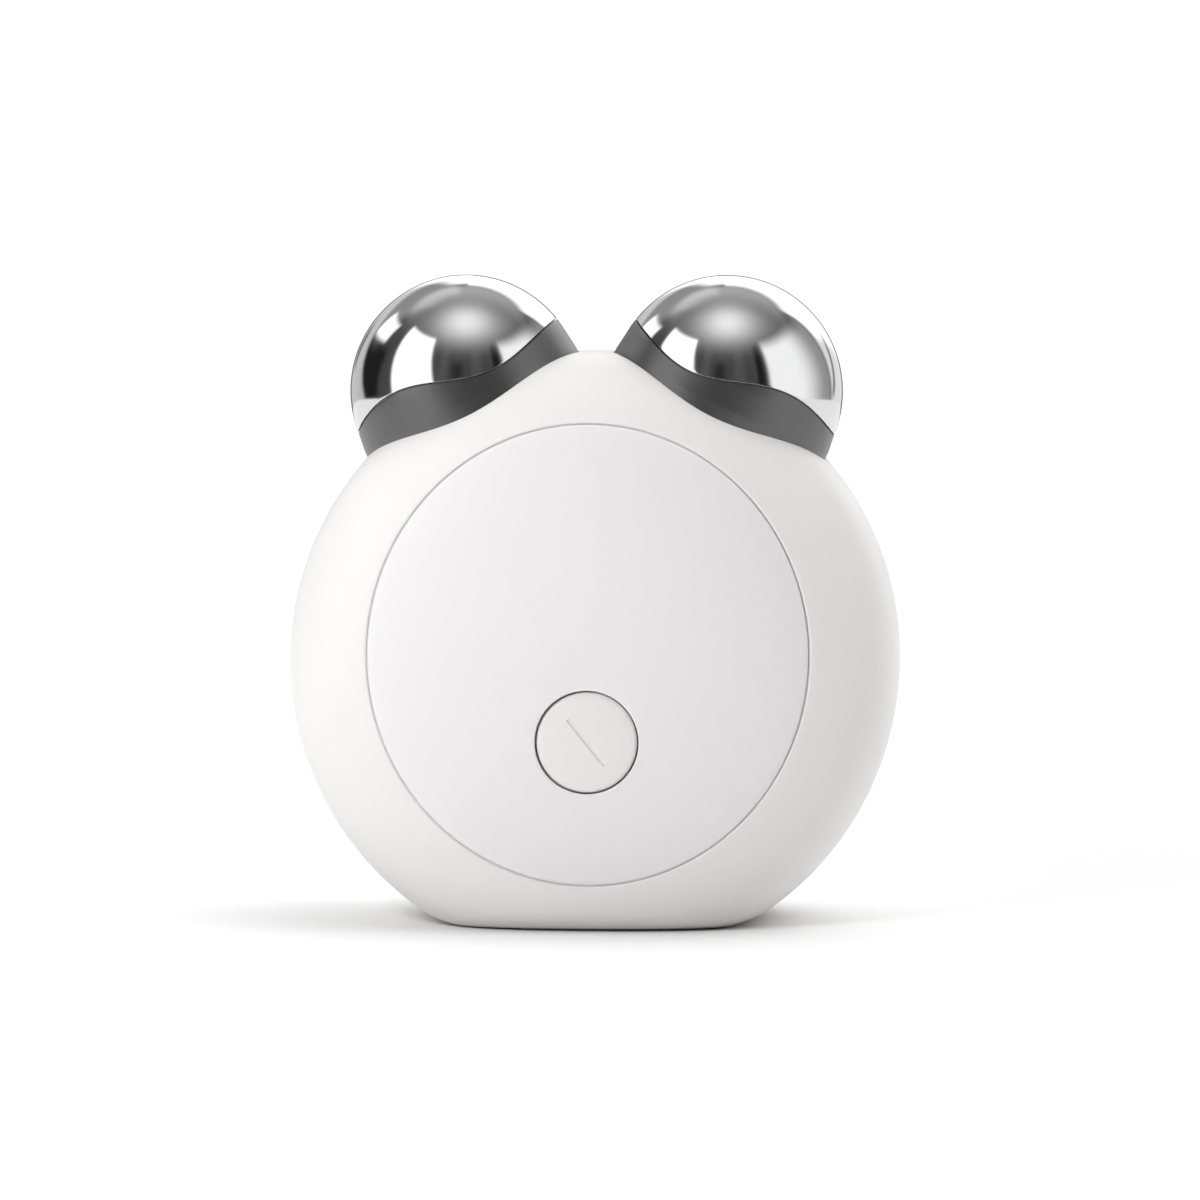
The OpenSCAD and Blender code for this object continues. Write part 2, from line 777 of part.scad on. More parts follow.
module charging_jack() color("black") difference() {
    union() {
        bar_y(jack_r, jack_back_y, jack_face_y, 0, jack_z);
        bar_y(jack_r + jack_flange_w, jack_flange_y - jack_flange_t, jack_flange_y, 0, jack_z);
    }
    bar_y(jack_bore_d / 2, jack_back_y + jack_back_t, jack_face_y + over, 0, jack_z);
    for (side = [-1, 1])
        bar_y(pin_r, jack_back_y - over, jack_back_y + jack_back_t / 2, side * pin_x, jack_z);
}

module jack_pins() color("gold") for (side = [-1, 1])
    bar_y(pin_r, jack_back_y - pin_out, jack_back_y + jack_back_t / 2, side * pin_x, jack_z);

module jack_seal() color("gray") difference() {
    bar_y(jack_r + jack_seal_w, jack_seal_y, jack_face_y, 0, jack_z);
    bar_y(jack_r, jack_seal_y - over, jack_face_y + over, 0, jack_z);
}

// ---------- Leads ----------

// A point of the cubic curve from a to d, drawn towards b and c
function curve(a, b, c, d, t) =
    a * pow(1 - t, 3) + b * 3 * t * pow(1 - t, 2) + c * 3 * t * t * (1 - t) + d * pow(t, 3);
function slope(a, b, c, d, t) =
    (b - a) * pow(1 - t, 2) + (c - b) * 2 * t * (1 - t) + (d - c) * t * t;
function unit(v) = v / norm(v);

// A round lead along that curve
module lead(a, b, c, d) {
    side_axis = unit(lead_side);
    rings = [for (i = [0:lead_rings]) let (
        t = i / lead_rings,
        p = curve(a, b, c, d, t),
        u = unit(cross(slope(a, b, c, d, t), side_axis)),
        v = unit(cross(slope(a, b, c, d, t), u))
    ) for (k = [0:lead_sides - 1]) let (q = 360 * k / lead_sides) p + lead_r * (u * cos(q) + v * sin(q))];
    n = lead_sides;
    walls = [for (i = [0:lead_rings - 1], k = [0:n - 1]) let (
        e = i * n + k, f = i * n + (k + 1) % n
    ) each [[e, f, f + n], [e, f + n, e + n]]];
    first = [for (k = [1:n - 2]) [0, k + 1, k]];
    last = [for (k = [1:n - 2]) [lead_rings * n, lead_rings * n + k, lead_rings * n + k + 1]];
    polyhedron(points = rings, faces = [for (f = concat(walls, first, last)) [f[0], f[2], f[1]]]);
}

module head_lead() {
    start = head_point(0, seat_w - terminal_t - lead_r - fit);
    y = -terminal_tail_l + terminal_tail_w / 2;
    end = [head_lead_end[0], board_y - lead_r - fit, board_top + head_lead_end[1]];
    lead([start[0], y, start[1]], [start[0] - head_lead_in, y, start[1] - head_lead_drop],
        end + [0, 0, head_lead_rise], end);
}

module right_lead() color("firebrick") head_lead();
module left_lead() color("firebrick") mirror([1, 0, 0]) head_lead();

module motor_leads() color("navy") for (side = [-1, 1]) {
    start = [motor_x0 - fit, motor_y + side * motor_lead_x, motor_z];
    end = [motor_lead_margin - board_w / 2, board_back_y + fit,
        centre_h - motor_lead_drop + side * motor_lead_x];
    lead(start, start + [-motor_lead_out, 0, side], end + [0, motor_lead_bend, 0], end);
}

module battery_leads() color("crimson") for (side = [-1, 1]) {
    start = [side * socket_hole_x, battery_back_y - battery_t / 2, battery_top + fit];
    end = [side * socket_hole_x, board_y - socket_hole_in, board_top - battery_lead_sink];
    lead(start, start + [0, 0, battery_lead_rise], end + [0, 0, battery_lead_bend], end);
}

module charging_leads() color("navy") for (side = [-1, 1]) {
    start = [side * pin_x, jack_back_y - pin_out - fit, jack_z];
    end = [side * pin_x, board_back_y + fit, board_bottom + charging_lead_rise];
    lead(start, start + [side * charging_lead_spread, -charging_lead_bend, 0],
        end + [side * charging_lead_spread, charging_lead_bend, 0], end);
}

// ---------- Nodes ----------

front_shell();
rear_shell();
seam_seal();
front_panel();
panel_tape();
power_button();
button_seal();
switch_plunger();
switch_body();
right_dome();
left_dome();
right_collar();
left_collar();
right_collar_seal();
left_collar_seal();
dome_screws();
ring_terminals();
head_frame();
main_board();
board_screws();
control_chip();
charging_chip();
output_transformer();
battery_socket();
battery();
battery_pad();
motor_can();
motor_boot();
motor_shaft();
eccentric_weight();
charging_jack();
jack_pins();
jack_seal();
right_lead();
left_lead();
motor_leads();
battery_leads();
charging_leads();
shell_screws();
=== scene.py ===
"""Looks of the facial toning device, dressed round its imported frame.

The two shells, the panel, the button, both heads and the charging jack are modelled here as smooth
pieces. Everything else keeps its frame solid and gets the finish of its real material.
Sizes in the classes are millimetres. Meshes are in metres, in the frame's axes.
"""

import logging
import math
from collections.abc import Callable, Sequence
from dataclasses import dataclass, field
from enum import Enum

import bmesh
import bpy
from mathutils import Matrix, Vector


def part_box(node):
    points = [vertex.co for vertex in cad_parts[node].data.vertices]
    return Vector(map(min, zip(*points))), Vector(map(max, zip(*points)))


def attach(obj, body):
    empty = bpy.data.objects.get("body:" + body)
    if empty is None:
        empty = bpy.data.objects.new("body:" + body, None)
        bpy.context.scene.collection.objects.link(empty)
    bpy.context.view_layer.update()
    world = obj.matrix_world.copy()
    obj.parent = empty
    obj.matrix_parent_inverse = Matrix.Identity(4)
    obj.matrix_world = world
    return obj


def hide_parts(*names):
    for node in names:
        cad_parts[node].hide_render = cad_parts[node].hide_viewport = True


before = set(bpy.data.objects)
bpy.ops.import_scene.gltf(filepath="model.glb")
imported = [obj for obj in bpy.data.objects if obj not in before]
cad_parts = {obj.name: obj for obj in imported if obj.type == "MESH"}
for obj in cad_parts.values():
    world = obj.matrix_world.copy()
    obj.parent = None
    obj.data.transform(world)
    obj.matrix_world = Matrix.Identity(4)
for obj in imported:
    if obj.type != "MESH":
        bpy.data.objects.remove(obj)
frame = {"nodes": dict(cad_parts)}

MM = 0.001
LOG = logging.getLogger("toning_device")

Spot = tuple[float, float, float]
Colour = tuple[float, float, float]
Pair = tuple[float, float]
Ring = Callable[[int], Spot]
Piece = bpy.types.Object
Socket = bpy.types.NodeSocket
Value = bpy.types.NodeSocket | float
Tree = bpy.types.NodeTree
Node = bpy.types.Node


# ---------------------------------------------------------------- modelling


def deselect() -> None:
    """Leaves object mode with nothing selected."""
    if bpy.context.object is not None and bpy.context.object.mode != "OBJECT":
        bpy.ops.object.mode_set(mode="OBJECT")
    bpy.ops.object.select_all(action="DESELECT")


def pick(piece: Piece) -> None:
    """Selects one piece alone and makes it active.

    Args:
        piece: The object to work on.
    """
    deselect()
    piece.select_set(True)
    bpy.context.view_layer.objects.active = piece


def recalculate(piece: Piece) -> None:
    """Turns every face of a closed piece outwards.

    Args:
        piece: The object whose mesh is mended.
    """
    pick(piece)
    bpy.ops.object.mode_set(mode="EDIT")
    bpy.ops.mesh.select_all(action="SELECT")
    bpy.ops.mesh.normals_make_consistent(inside=False)
    bpy.ops.object.mode_set(mode="OBJECT")


def smooth(piece: Piece, angle: float = 32.0) -> None:
    """Shades a piece smooth, with edges sharper than an angle in degrees left crisp."""
    pick(piece)
    bpy.ops.object.shade_smooth_by_angle(angle=math.radians(angle))


def cut_away(piece: Piece, cutter: Piece) -> None:
    """Takes one closed piece out of another and deletes the cutter.

    Args:
        piece: The object that keeps its name.
        cutter: The object whose room is taken out.
    """
    pick(piece)
    cut = piece.modifiers.new("Cut", "BOOLEAN")
    cut.operation = "DIFFERENCE"
    cut.solver = "EXACT"
    cut.object = cutter
    bpy.ops.object.modifier_apply(modifier=cut.name)
    bpy.data.objects.remove(cutter)


def mirrored_copy(piece: Piece, name: str) -> Piece:
    """Copies a finished piece to the other side of the plane x = 0.

    Args:
        piece: The piece on the right.
        name: The name of the copy.

    Returns:
        The copy, with a mesh of its own.
    """
    pick(piece)
    bpy.ops.object.duplicate()
    copy = bpy.context.active_object
    copy.name = copy.data.name = name
    bpy.ops.transform.mirror(constraint_axis=(True, False, False))
    bpy.ops.object.transform_apply(location=False, rotation=False, scale=True)
    recalculate(copy)
    return copy


class RingWall:
    """A ring of points that grows into a surface, one extruded ring after another."""

    def __init__(self, name: str, columns: int, first: Ring) -> None:
        """Adds the first ring.

        Args:
            name: The name of the piece.
            columns: How many points a ring has.
            first: The place of each column's point, in millimetres.
        """
        deselect()
        bpy.ops.mesh.primitive_circle_add(vertices=columns, radius=1.0)
        self.piece = bpy.context.active_object
        self.piece.name = self.piece.data.name = name
        self.columns = columns
        bpy.ops.object.mode_set(mode="EDIT")
        mesh = bmesh.from_edit_mesh(self.piece.data)
        column = mesh.verts.layers.int.new("column")
        for vert in mesh.verts:
            turn = math.atan2(vert.co.y, vert.co.x) / math.tau
            vert[column] = round(turn * columns) % columns
        self._place(first)

    def _place(self, spot: Ring) -> None:
        """Moves the newest ring to its places."""
        mesh = bmesh.from_edit_mesh(self.piece.data)
        column = mesh.verts.layers.int["column"]
        mesh.verts.ensure_lookup_table()
        for vert in mesh.verts[-self.columns :]:
            vert.co = [MM * c for c in spot(vert[column])]
        bmesh.update_edit_mesh(self.piece.data)

    def grow(self, *rings: Ring) -> None:
        """Extrudes the newest ring to each of these rings in turn.

        Args:
            *rings: The place of each column's point, for one ring after another.
        """
        for spot in rings:
            bpy.ops.mesh.extrude_region_move()
            self._place(spot)

    def to_pole(self) -> None:
        """Draws the newest ring together into one point."""
        bpy.ops.mesh.merge(type="CENTER")

    def weld(self) -> None:
        """Joins points that lie on each other, such as the last ring and the first."""
        bpy.ops.mesh.select_all(action="SELECT")
        bpy.ops.mesh.remove_doubles(threshold=0.002 * MM)

    def fill_ends(self) -> None:
        """Closes the open rings with flat faces."""
        bpy.ops.mesh.select_all(action="DESELECT")
        bpy.ops.mesh.select_mode(type="EDGE")
        bpy.ops.mesh.select_non_manifold(extend=False)
        bpy.ops.mesh.fill_holes(sides=0)
        bpy.ops.mesh.select_mode(type="VERT")

    def done(self, angle: float = 32.0) -> Piece:
        """Finishes the mesh.

        Args:
            angle: Edges sharper than this, in degrees, stay crisp.

        Returns:
            The piece, closed, with its faces outwards and shaded smooth.
        """
        recalculate(self.piece)
        smooth(self.piece, angle)
        return self.piece


def quarter(steps: int) -> list[Pair]:
    """How a quarter turn comes on: its way out from 0 to 1 and its way down from 1 to 0."""
    turns = [math.pi / 2 * i / steps for i in range(steps + 1)]
    return [(1 - math.cos(t), 1 - math.sin(t)) for t in turns]


def turned(name: str, columns: int, profile: Sequence[Pair], z: float) -> RingWall:
    """Turns a line round an axis that runs along y.

    Args:
        name: The name of the piece.
        columns: How many sides it has.
        profile: The line's pairs of radius and y.
        z: Height of the axis.

    Returns:
        The wall, with both ends open.
    """

    def ring(r: float, y: float) -> Ring:
        def spot(k: int) -> Spot:
            a = math.tau * k / columns
            return (r * math.cos(a), y, z + r * math.sin(a))

        return spot

    wall = RingWall(name, columns, ring(*profile[0]))
    wall.grow(*[ring(*pair) for pair in profile[1:]])
    return wall


def rounded(start: Vector, corner: Vector, end: Vector, steps: int) -> list[Vector]:
    """Points of the curve that rounds a corner.

    Args:
        start: Where the curve leaves the first side.
        corner: The sharp corner that it replaces.
        end: Where it meets the second side.
        steps: How many points it has after the start.

    Returns:
        The points, with the start and the end.
    """
    points = []
    for i in range(steps + 1):
        t = i / steps
        points.append(start * (1 - t) ** 2 + corner * 2 * t * (1 - t) + end * t * t)
    return points


def spread_evenly(points: Sequence[Vector], count: int) -> list[Vector]:
    """Places points at equal distances along a path.

    Args:
        points: The path.
        count: How many steps the new points make.

    Returns:
        The count + 1 points, with both ends.
    """
    run = [0.0]
    for a, b in zip(points, points[1:]):
        run.append(run[-1] + (b - a).length)
    out, k = [], 0
    for i in range(count + 1):
        want = run[-1] * i / count
        while k < len(points) - 2 and run[k + 1] < want:
            k += 1
        part = (want - run[k]) / max(run[k + 1] - run[k], 1e-9)
        out.append(points[k].lerp(points[k + 1], min(max(part, 0.0), 1.0)))
    return out


# ---------------------------------------------------------------- the form of the housing


@dataclass(frozen=True)
class BodyForm:
    """The crowned round form that the shells and the panel follow."""

    radius: float
    half_depth: float
    centre_z: float = 32.2
    squareness: float = 3.6
    base_side_r: float = 13.5
    base_edge: float = 3.5
    land_rise: float = 0.42
    land_reach: float = 7.0
    columns: int = 288

    def angle(self, column: int) -> float:
        """The direction of a column round the face, in radians."""
        return math.tau * column / self.columns

    def land(self, x: float, z: float) -> float:
        """How far the top between the heads stands over the round outline."""
        up = max(0.0, (z - self.centre_z) / self.radius)
        return self.land_rise * math.exp(-((x / self.land_reach) ** 2)) * up**6

    def depth(self, x: float, z: float, sunk: float = 0.0, inset: float = 0.0) -> float:
        """Half depth of the crown at a point of the face.

        Args:
            x: Place across.
            z: Place up.
            sunk: How far the face lies behind the outer one.
            inset: How far the outline lies inside the outer one.

        Returns:
            The distance from the plane y = 0.
        """
        reach = math.hypot(x, z - self.centre_z) - self.land(x, z)
        share = min(reach / (self.radius - inset), 1.0)
        crown = (1 - share**self.squareness) ** (1 / self.squareness)
        return (self.half_depth - sunk) * crown

    def rim(self, angle: float, inset: float = 0.0) -> Pair:
        """The point of the outline in a direction from its centre.

        Args:
            angle: The direction, in radians.
            inset: How far inside the outer outline.

        Returns:
            Its x and z.
        """
        c, s = math.cos(angle), math.sin(angle)
        reach = self.radius - inset
        reach += self.land(reach * c, self.centre_z + reach * s)
        up = self.centre_z - self.base_side_r
        if -s > up / (self.radius - self.base_side_r):
            reach = self._base_reach(c, s, inset)
        return (reach * c, self.centre_z + reach * s)

    def _base_reach(self, c: float, s: float, inset: float) -> float:
        """Distance from the centre to the base and its round ends."""
        up = self.centre_z - self.base_side_r
        side = math.sqrt((self.radius - self.base_side_r) ** 2 - up**2)
        flat = (self.centre_z - inset) / -s
        if abs(flat * c) <= side:
            return flat
        along = abs(c) * side - s * up
        across = side**2 + up**2 - (self.base_side_r - inset) ** 2
        return along + math.sqrt(along**2 - across)

    def section(self, start: Pair, angle: float, steps: int) -> list[Spot]:
        """Points on the outside, from a point of the face to the seam.

        Args:
            start: x and z where the line leaves the face.
            angle: The direction of its end on the outline, in radians.
            steps: How many steps it has.

        Returns:
            Points as x, half depth and z.
        """
        end = Vector(self.rim(angle))
        near = Vector(start)
        length = (end - near).length

        def at(s: float) -> Vector:
            p = near.lerp(end, s / length)
            return Vector((s, self.depth(p.x, p.y)))

        fall = self.radius - (end - Vector((0, self.centre_z))).length
        whole = self.radius - self.centre_z
        reach = self.base_edge * math.sqrt(min(max(fall / whole, 0.0), 1.0))
        last, fine, tick = length - reach, 90, 0.02
        path = [at(last * (1 - (1 - i / fine) ** 4)) for i in range(fine + 1)]
        if reach > tick:
            a, b = at(last - tick), at(last)
            slope = (b.y - a.y) / (b.x - a.x)
            corner = Vector((length, b.y + slope * reach))
            drop = min((corner - b).length, 0.7 * corner.y)
            path += rounded(b, corner, Vector((length, corner.y - drop)), 14)[1:]
        path.append(Vector((length, 0.0)))
        out = []
        for p in spread_evenly(path, steps):
            q = near.lerp(end, min(p.x / length, 1.0))
            out.append((q.x, p.y, q.y))
        return out


@dataclass(frozen=True)
class Oval:
    """A round or oval line on the face."""

    half_w: float
    half_h: float
    z: float

    def point(self, angle: float, grow: float = 0.0) -> Pair:
        """Its point in a direction, moved outwards by grow."""
        c, s = math.cos(angle), math.sin(angle)
        x, z = self.half_w * c, self.half_h * s
        out = Vector((self.half_h * c, self.half_w * s)).normalized()
        return (x + grow * out.x, self.z + z + grow * out.y)

    def grown(self, by: float) -> "Oval":
        """The oval with both halves longer."""
        return Oval(self.half_w + by, self.half_h + by, self.z)


def mixed(a: Pair, b: Pair, t: float) -> Pair:
    """The point a share t of the way from a to b."""
    return (a[0] + (b[0] - a[0]) * t, a[1] + (b[1] - a[1]) * t)


# ---------------------------------------------------------------- finishes


class Pattern(Enum):
    """What runs over a surface besides its colour."""

    MOULDED = "fine even grain"
    BRUSHED = "short lines along one axis"
    WOVEN = "crossed lines of a laminate"
    WRAPPED = "long soft creases"


@dataclass(frozen=True)
class Finish:
    """A solid material with the small changes that a real surface shows."""

    name: str
    colour: Colour
    shade: Colour
    roughness: float
    rough_spread: float = 0.04
    metallic: float = 0.0
    specular: float = 0.5
    ior: float = 1.5
    coat: float = 0.0
    subsurface: float = 0.0
    mottle_mm: float = 6.0
    grain_mm: float = 0.25
    grain_depth_mm: float = 0.004
    pattern: Pattern = Pattern.MOULDED

    def material(self) -> bpy.types.Material:
        """Builds the node tree.

        Returns:
            The material.
        """
        made = bpy.data.materials.new(self.name)
        made.use_nodes = True
        tree = made.node_tree
        shader = tree.nodes["Principled BSDF"]
        place = tree.nodes.new("ShaderNodeTexCoord")
        mottle = self._noise(tree, place, self.mottle_mm, 3.0)
        blend = tree.nodes.new("ShaderNodeMix")
        blend.data_type = "RGBA"
        blend.inputs[6].default_value = (*self.colour, 1.0)
        blend.inputs[7].default_value = (*self.shade, 1.0)
        tree.links.new(mottle.outputs["Fac"], blend.inputs[0])
        tree.links.new(blend.outputs[2], shader.inputs["Base Color"])
        rough = tree.nodes.new("ShaderNodeMapRange")
        rough.inputs["From Min"].default_value = 0.3
        rough.inputs["From Max"].default_value = 0.7
        rough.inputs["To Min"].default_value = self.roughness - self.rough_spread
        rough.inputs["To Max"].default_value = self.roughness + self.rough_spread
        second = self._noise(tree, place, self.mottle_mm * 0.4, 4.0)
        tree.links.new(second.outputs["Fac"], rough.inputs["Value"])
        tree.links.new(rough.outputs["Result"], shader.inputs["Roughness"])
        grain = self._grain(tree, place)
        bump = tree.nodes.new("ShaderNodeBump")
        bump.inputs["Distance"].default_value = self.grain_depth_mm * MM
        bump.inputs["Strength"].default_value = 1.0
        tree.links.new(grain, bump.inputs["Height"])
        tree.links.new(bump.outputs["Normal"], shader.inputs["Normal"])
        settings = {
            "Metallic": self.metallic,
            "Specular IOR Level": self.specular,
            "IOR": self.ior,
            "Coat Weight": self.coat,
            "Coat Roughness": 0.12,
            "Subsurface Weight": self.subsurface,
            "Subsurface Radius": (1.0, 0.8, 0.7),
            "Subsurface Scale": 0.6 * MM,
        }
        for socket, value in settings.items():
            shader.inputs[socket].default_value = value
        made.diffuse_color = (*self.colour, 1.0)
        return made

    @staticmethod
    def _noise(
        tree: Tree, place: Node, size_mm: float, detail: float, stretch: Spot = (1.0, 1.0, 1.0)
    ) -> Node:
        """Adds a noise whose features are about size_mm across."""
        mapping = tree.nodes.new("ShaderNodeMapping")
        mapping.inputs["Scale"].default_value = stretch
        tree.links.new(place.outputs["Object"], mapping.inputs["Vector"])
        noise = tree.nodes.new("ShaderNodeTexNoise")
        noise.inputs["Scale"].default_value = 1.0 / (size_mm * MM)
        noise.inputs["Detail"].default_value = detail
        tree.links.new(mapping.outputs["Vector"], noise.inputs["Vector"])
        return noise

    def _grain(self, tree: Tree, place: Node) -> Socket:
        """Adds the pattern that the bump follows."""
        if self.pattern is Pattern.WOVEN:
            weave = tree.nodes.new("ShaderNodeTexBrick")
            weave.inputs["Scale"].default_value = 1.0 / (self.grain_mm * MM)
            weave.inputs["Mortar Size"].default_value = 0.08
            turned = tree.nodes.new("ShaderNodeMapping")
            turned.inputs["Rotation"].default_value = (math.pi / 2, 0, 0)
            tree.links.new(place.outputs["Object"], turned.inputs["Vector"])
            tree.links.new(turned.outputs["Vector"], weave.inputs["Vector"])
            return weave.outputs["Fac"]
        stretch = {
            Pattern.MOULDED: (1.0, 1.0, 1.0),
            Pattern.BRUSHED: (0.06, 1.0, 1.0),
            Pattern.WRAPPED: (1.0, 1.0, 0.18),
        }[self.pattern]
        return self._noise(tree, place, self.grain_mm, 2.0, stretch).outputs["Fac"]


SHELL = Finish("ShellSatin", (0.80, 0.785, 0.775), (0.79, 0.772, 0.76), 0.46, subsurface=0.12)
PANEL = Finish("PanelSatin", (0.79, 0.772, 0.78), (0.782, 0.762, 0.77), 0.4, subsurface=0.12)
BUTTON = Finish("ButtonSatin", (0.79, 0.775, 0.77), (0.78, 0.765, 0.76), 0.42, subsurface=0.12)
CHROME = Finish(
    "DomeChrome", (0.72, 0.72, 0.725), (0.7, 0.7, 0.705), 0.085, rough_spread=0.012,
    metallic=1.0, mottle_mm=9.0, grain_mm=2.5, grain_depth_mm=0.0006,
)
COLLAR = Finish(
    "CollarGraphite", (0.026, 0.0258, 0.0256), (0.023, 0.0228, 0.0226), 0.36, rough_spread=0.015,
    specular=1.0, ior=1.62, mottle_mm=9.0, grain_mm=0.3, grain_depth_mm=0.0008,
)
DARK_RUBBER = Finish("SealRubber", (0.03, 0.03, 0.03), (0.04, 0.04, 0.04), 0.7)
JACK_RUBBER = Finish("JackSealRubber", (0.62, 0.605, 0.595), (0.58, 0.565, 0.555), 0.62)
TAPE = Finish(
    "FoamTape", (0.55, 0.54, 0.51), (0.48, 0.47, 0.44), 0.85, grain_mm=0.4, grain_depth_mm=0.03
)
BLACK_PLASTIC = Finish("BlackPlastic", (0.02, 0.02, 0.021), (0.028, 0.028, 0.029), 0.36)
STEEL = Finish(
    "TurnedSteel", (0.5, 0.5, 0.5), (0.42, 0.42, 0.42), 0.28, metallic=1.0, pattern=Pattern.BRUSHED
)
CONTACT = Finish("PlatedContact", (0.72, 0.5, 0.18), (0.66, 0.45, 0.15), 0.24, metallic=1.0)
NYLON = Finish(
    "FilledNylon", (0.09, 0.09, 0.095), (0.13, 0.13, 0.135), 0.5, grain_mm=0.5, grain_depth_mm=0.02
)
LAMINATE = Finish(
    "BoardLaminate", (0.012, 0.1, 0.035), (0.02, 0.14, 0.05), 0.3, coat=0.4,
    grain_mm=0.8, grain_depth_mm=0.01, pattern=Pattern.WOVEN,
)
CORE = Finish("WoundCore", (0.32, 0.14, 0.03), (0.22, 0.09, 0.02), 0.42, pattern=Pattern.BRUSHED)
IVORY = Finish("IvoryNylon", (0.62, 0.56, 0.42), (0.58, 0.52, 0.38), 0.45)
FOIL = Finish(
    "CellFoil", (0.42, 0.43, 0.45), (0.36, 0.37, 0.39), 0.36, metallic=0.8,
    grain_mm=1.8, grain_depth_mm=0.05, pattern=Pattern.WRAPPED,
)
FOAM = Finish(
    "PadFoam", (0.05, 0.05, 0.052), (0.08, 0.08, 0.083), 0.9, grain_mm=0.35, grain_depth_mm=0.05
)
ALLOY = Finish("DenseAlloy", (0.45, 0.4, 0.32), (0.38, 0.34, 0.27), 0.35, metallic=1.0)
RED_SLEEVE = Finish("RedSleeve", (0.42, 0.02, 0.018), (0.34, 0.015, 0.014), 0.45)
BLUE_SLEEVE = Finish("BlueSleeve", (0.02, 0.05, 0.3), (0.015, 0.04, 0.24), 0.45)


class Wardrobe:
    """Makes each finish once and puts it on pieces."""

    INSIDE: dict[Finish, tuple[str, ...]] = {
        DARK_RUBBER: (
            "seam_seal", "button_seal", "right_collar_seal", "left_collar_seal", "motor_boot"
        ),
        TAPE: ("panel_tape",),
        BLACK_PLASTIC: ("switch_plunger", "switch_body", "control_chip", "charging_chip"),
        STEEL: ("dome_screws", "board_screws", "shell_screws", "motor_shaft", "motor_can"),
        CONTACT: ("ring_terminals", "jack_pins"),
        NYLON: ("head_frame",),
        LAMINATE: ("main_board",),
        CORE: ("output_transformer",),
        IVORY: ("battery_socket",),
        FOIL: ("battery",),
        FOAM: ("battery_pad",),
        ALLOY: ("eccentric_weight",),
        RED_SLEEVE: ("right_lead", "left_lead", "battery_leads"),
        BLUE_SLEEVE: ("motor_leads", "charging_leads"),
    }

    def __init__(self) -> None:
        """Starts with no material made."""
        self._made: dict[str, bpy.types.Material] = {}

    def dress(self, piece: Piece, finish: Finish) -> None:
        """Gives a piece one finish all over.

        Args:
            piece: The object.
            finish: Its finish.
        """
        if finish.name not in self._made:
            self._made[finish.name] = finish.material()
        piece.data.materials.clear()
        piece.data.materials.append(self._made[finish.name])

    def dress_inside(self, nodes: dict[str, Piece]) -> None:
        """Gives the frame solids that stay in view of an open housing their finishes.

        Args:
            nodes: The frame's nodes by name.
        """
        for finish, names in self.INSIDE.items():
            for name in names:
                self.dress(nodes[name], finish)


# ---------------------------------------------------------------- the housing


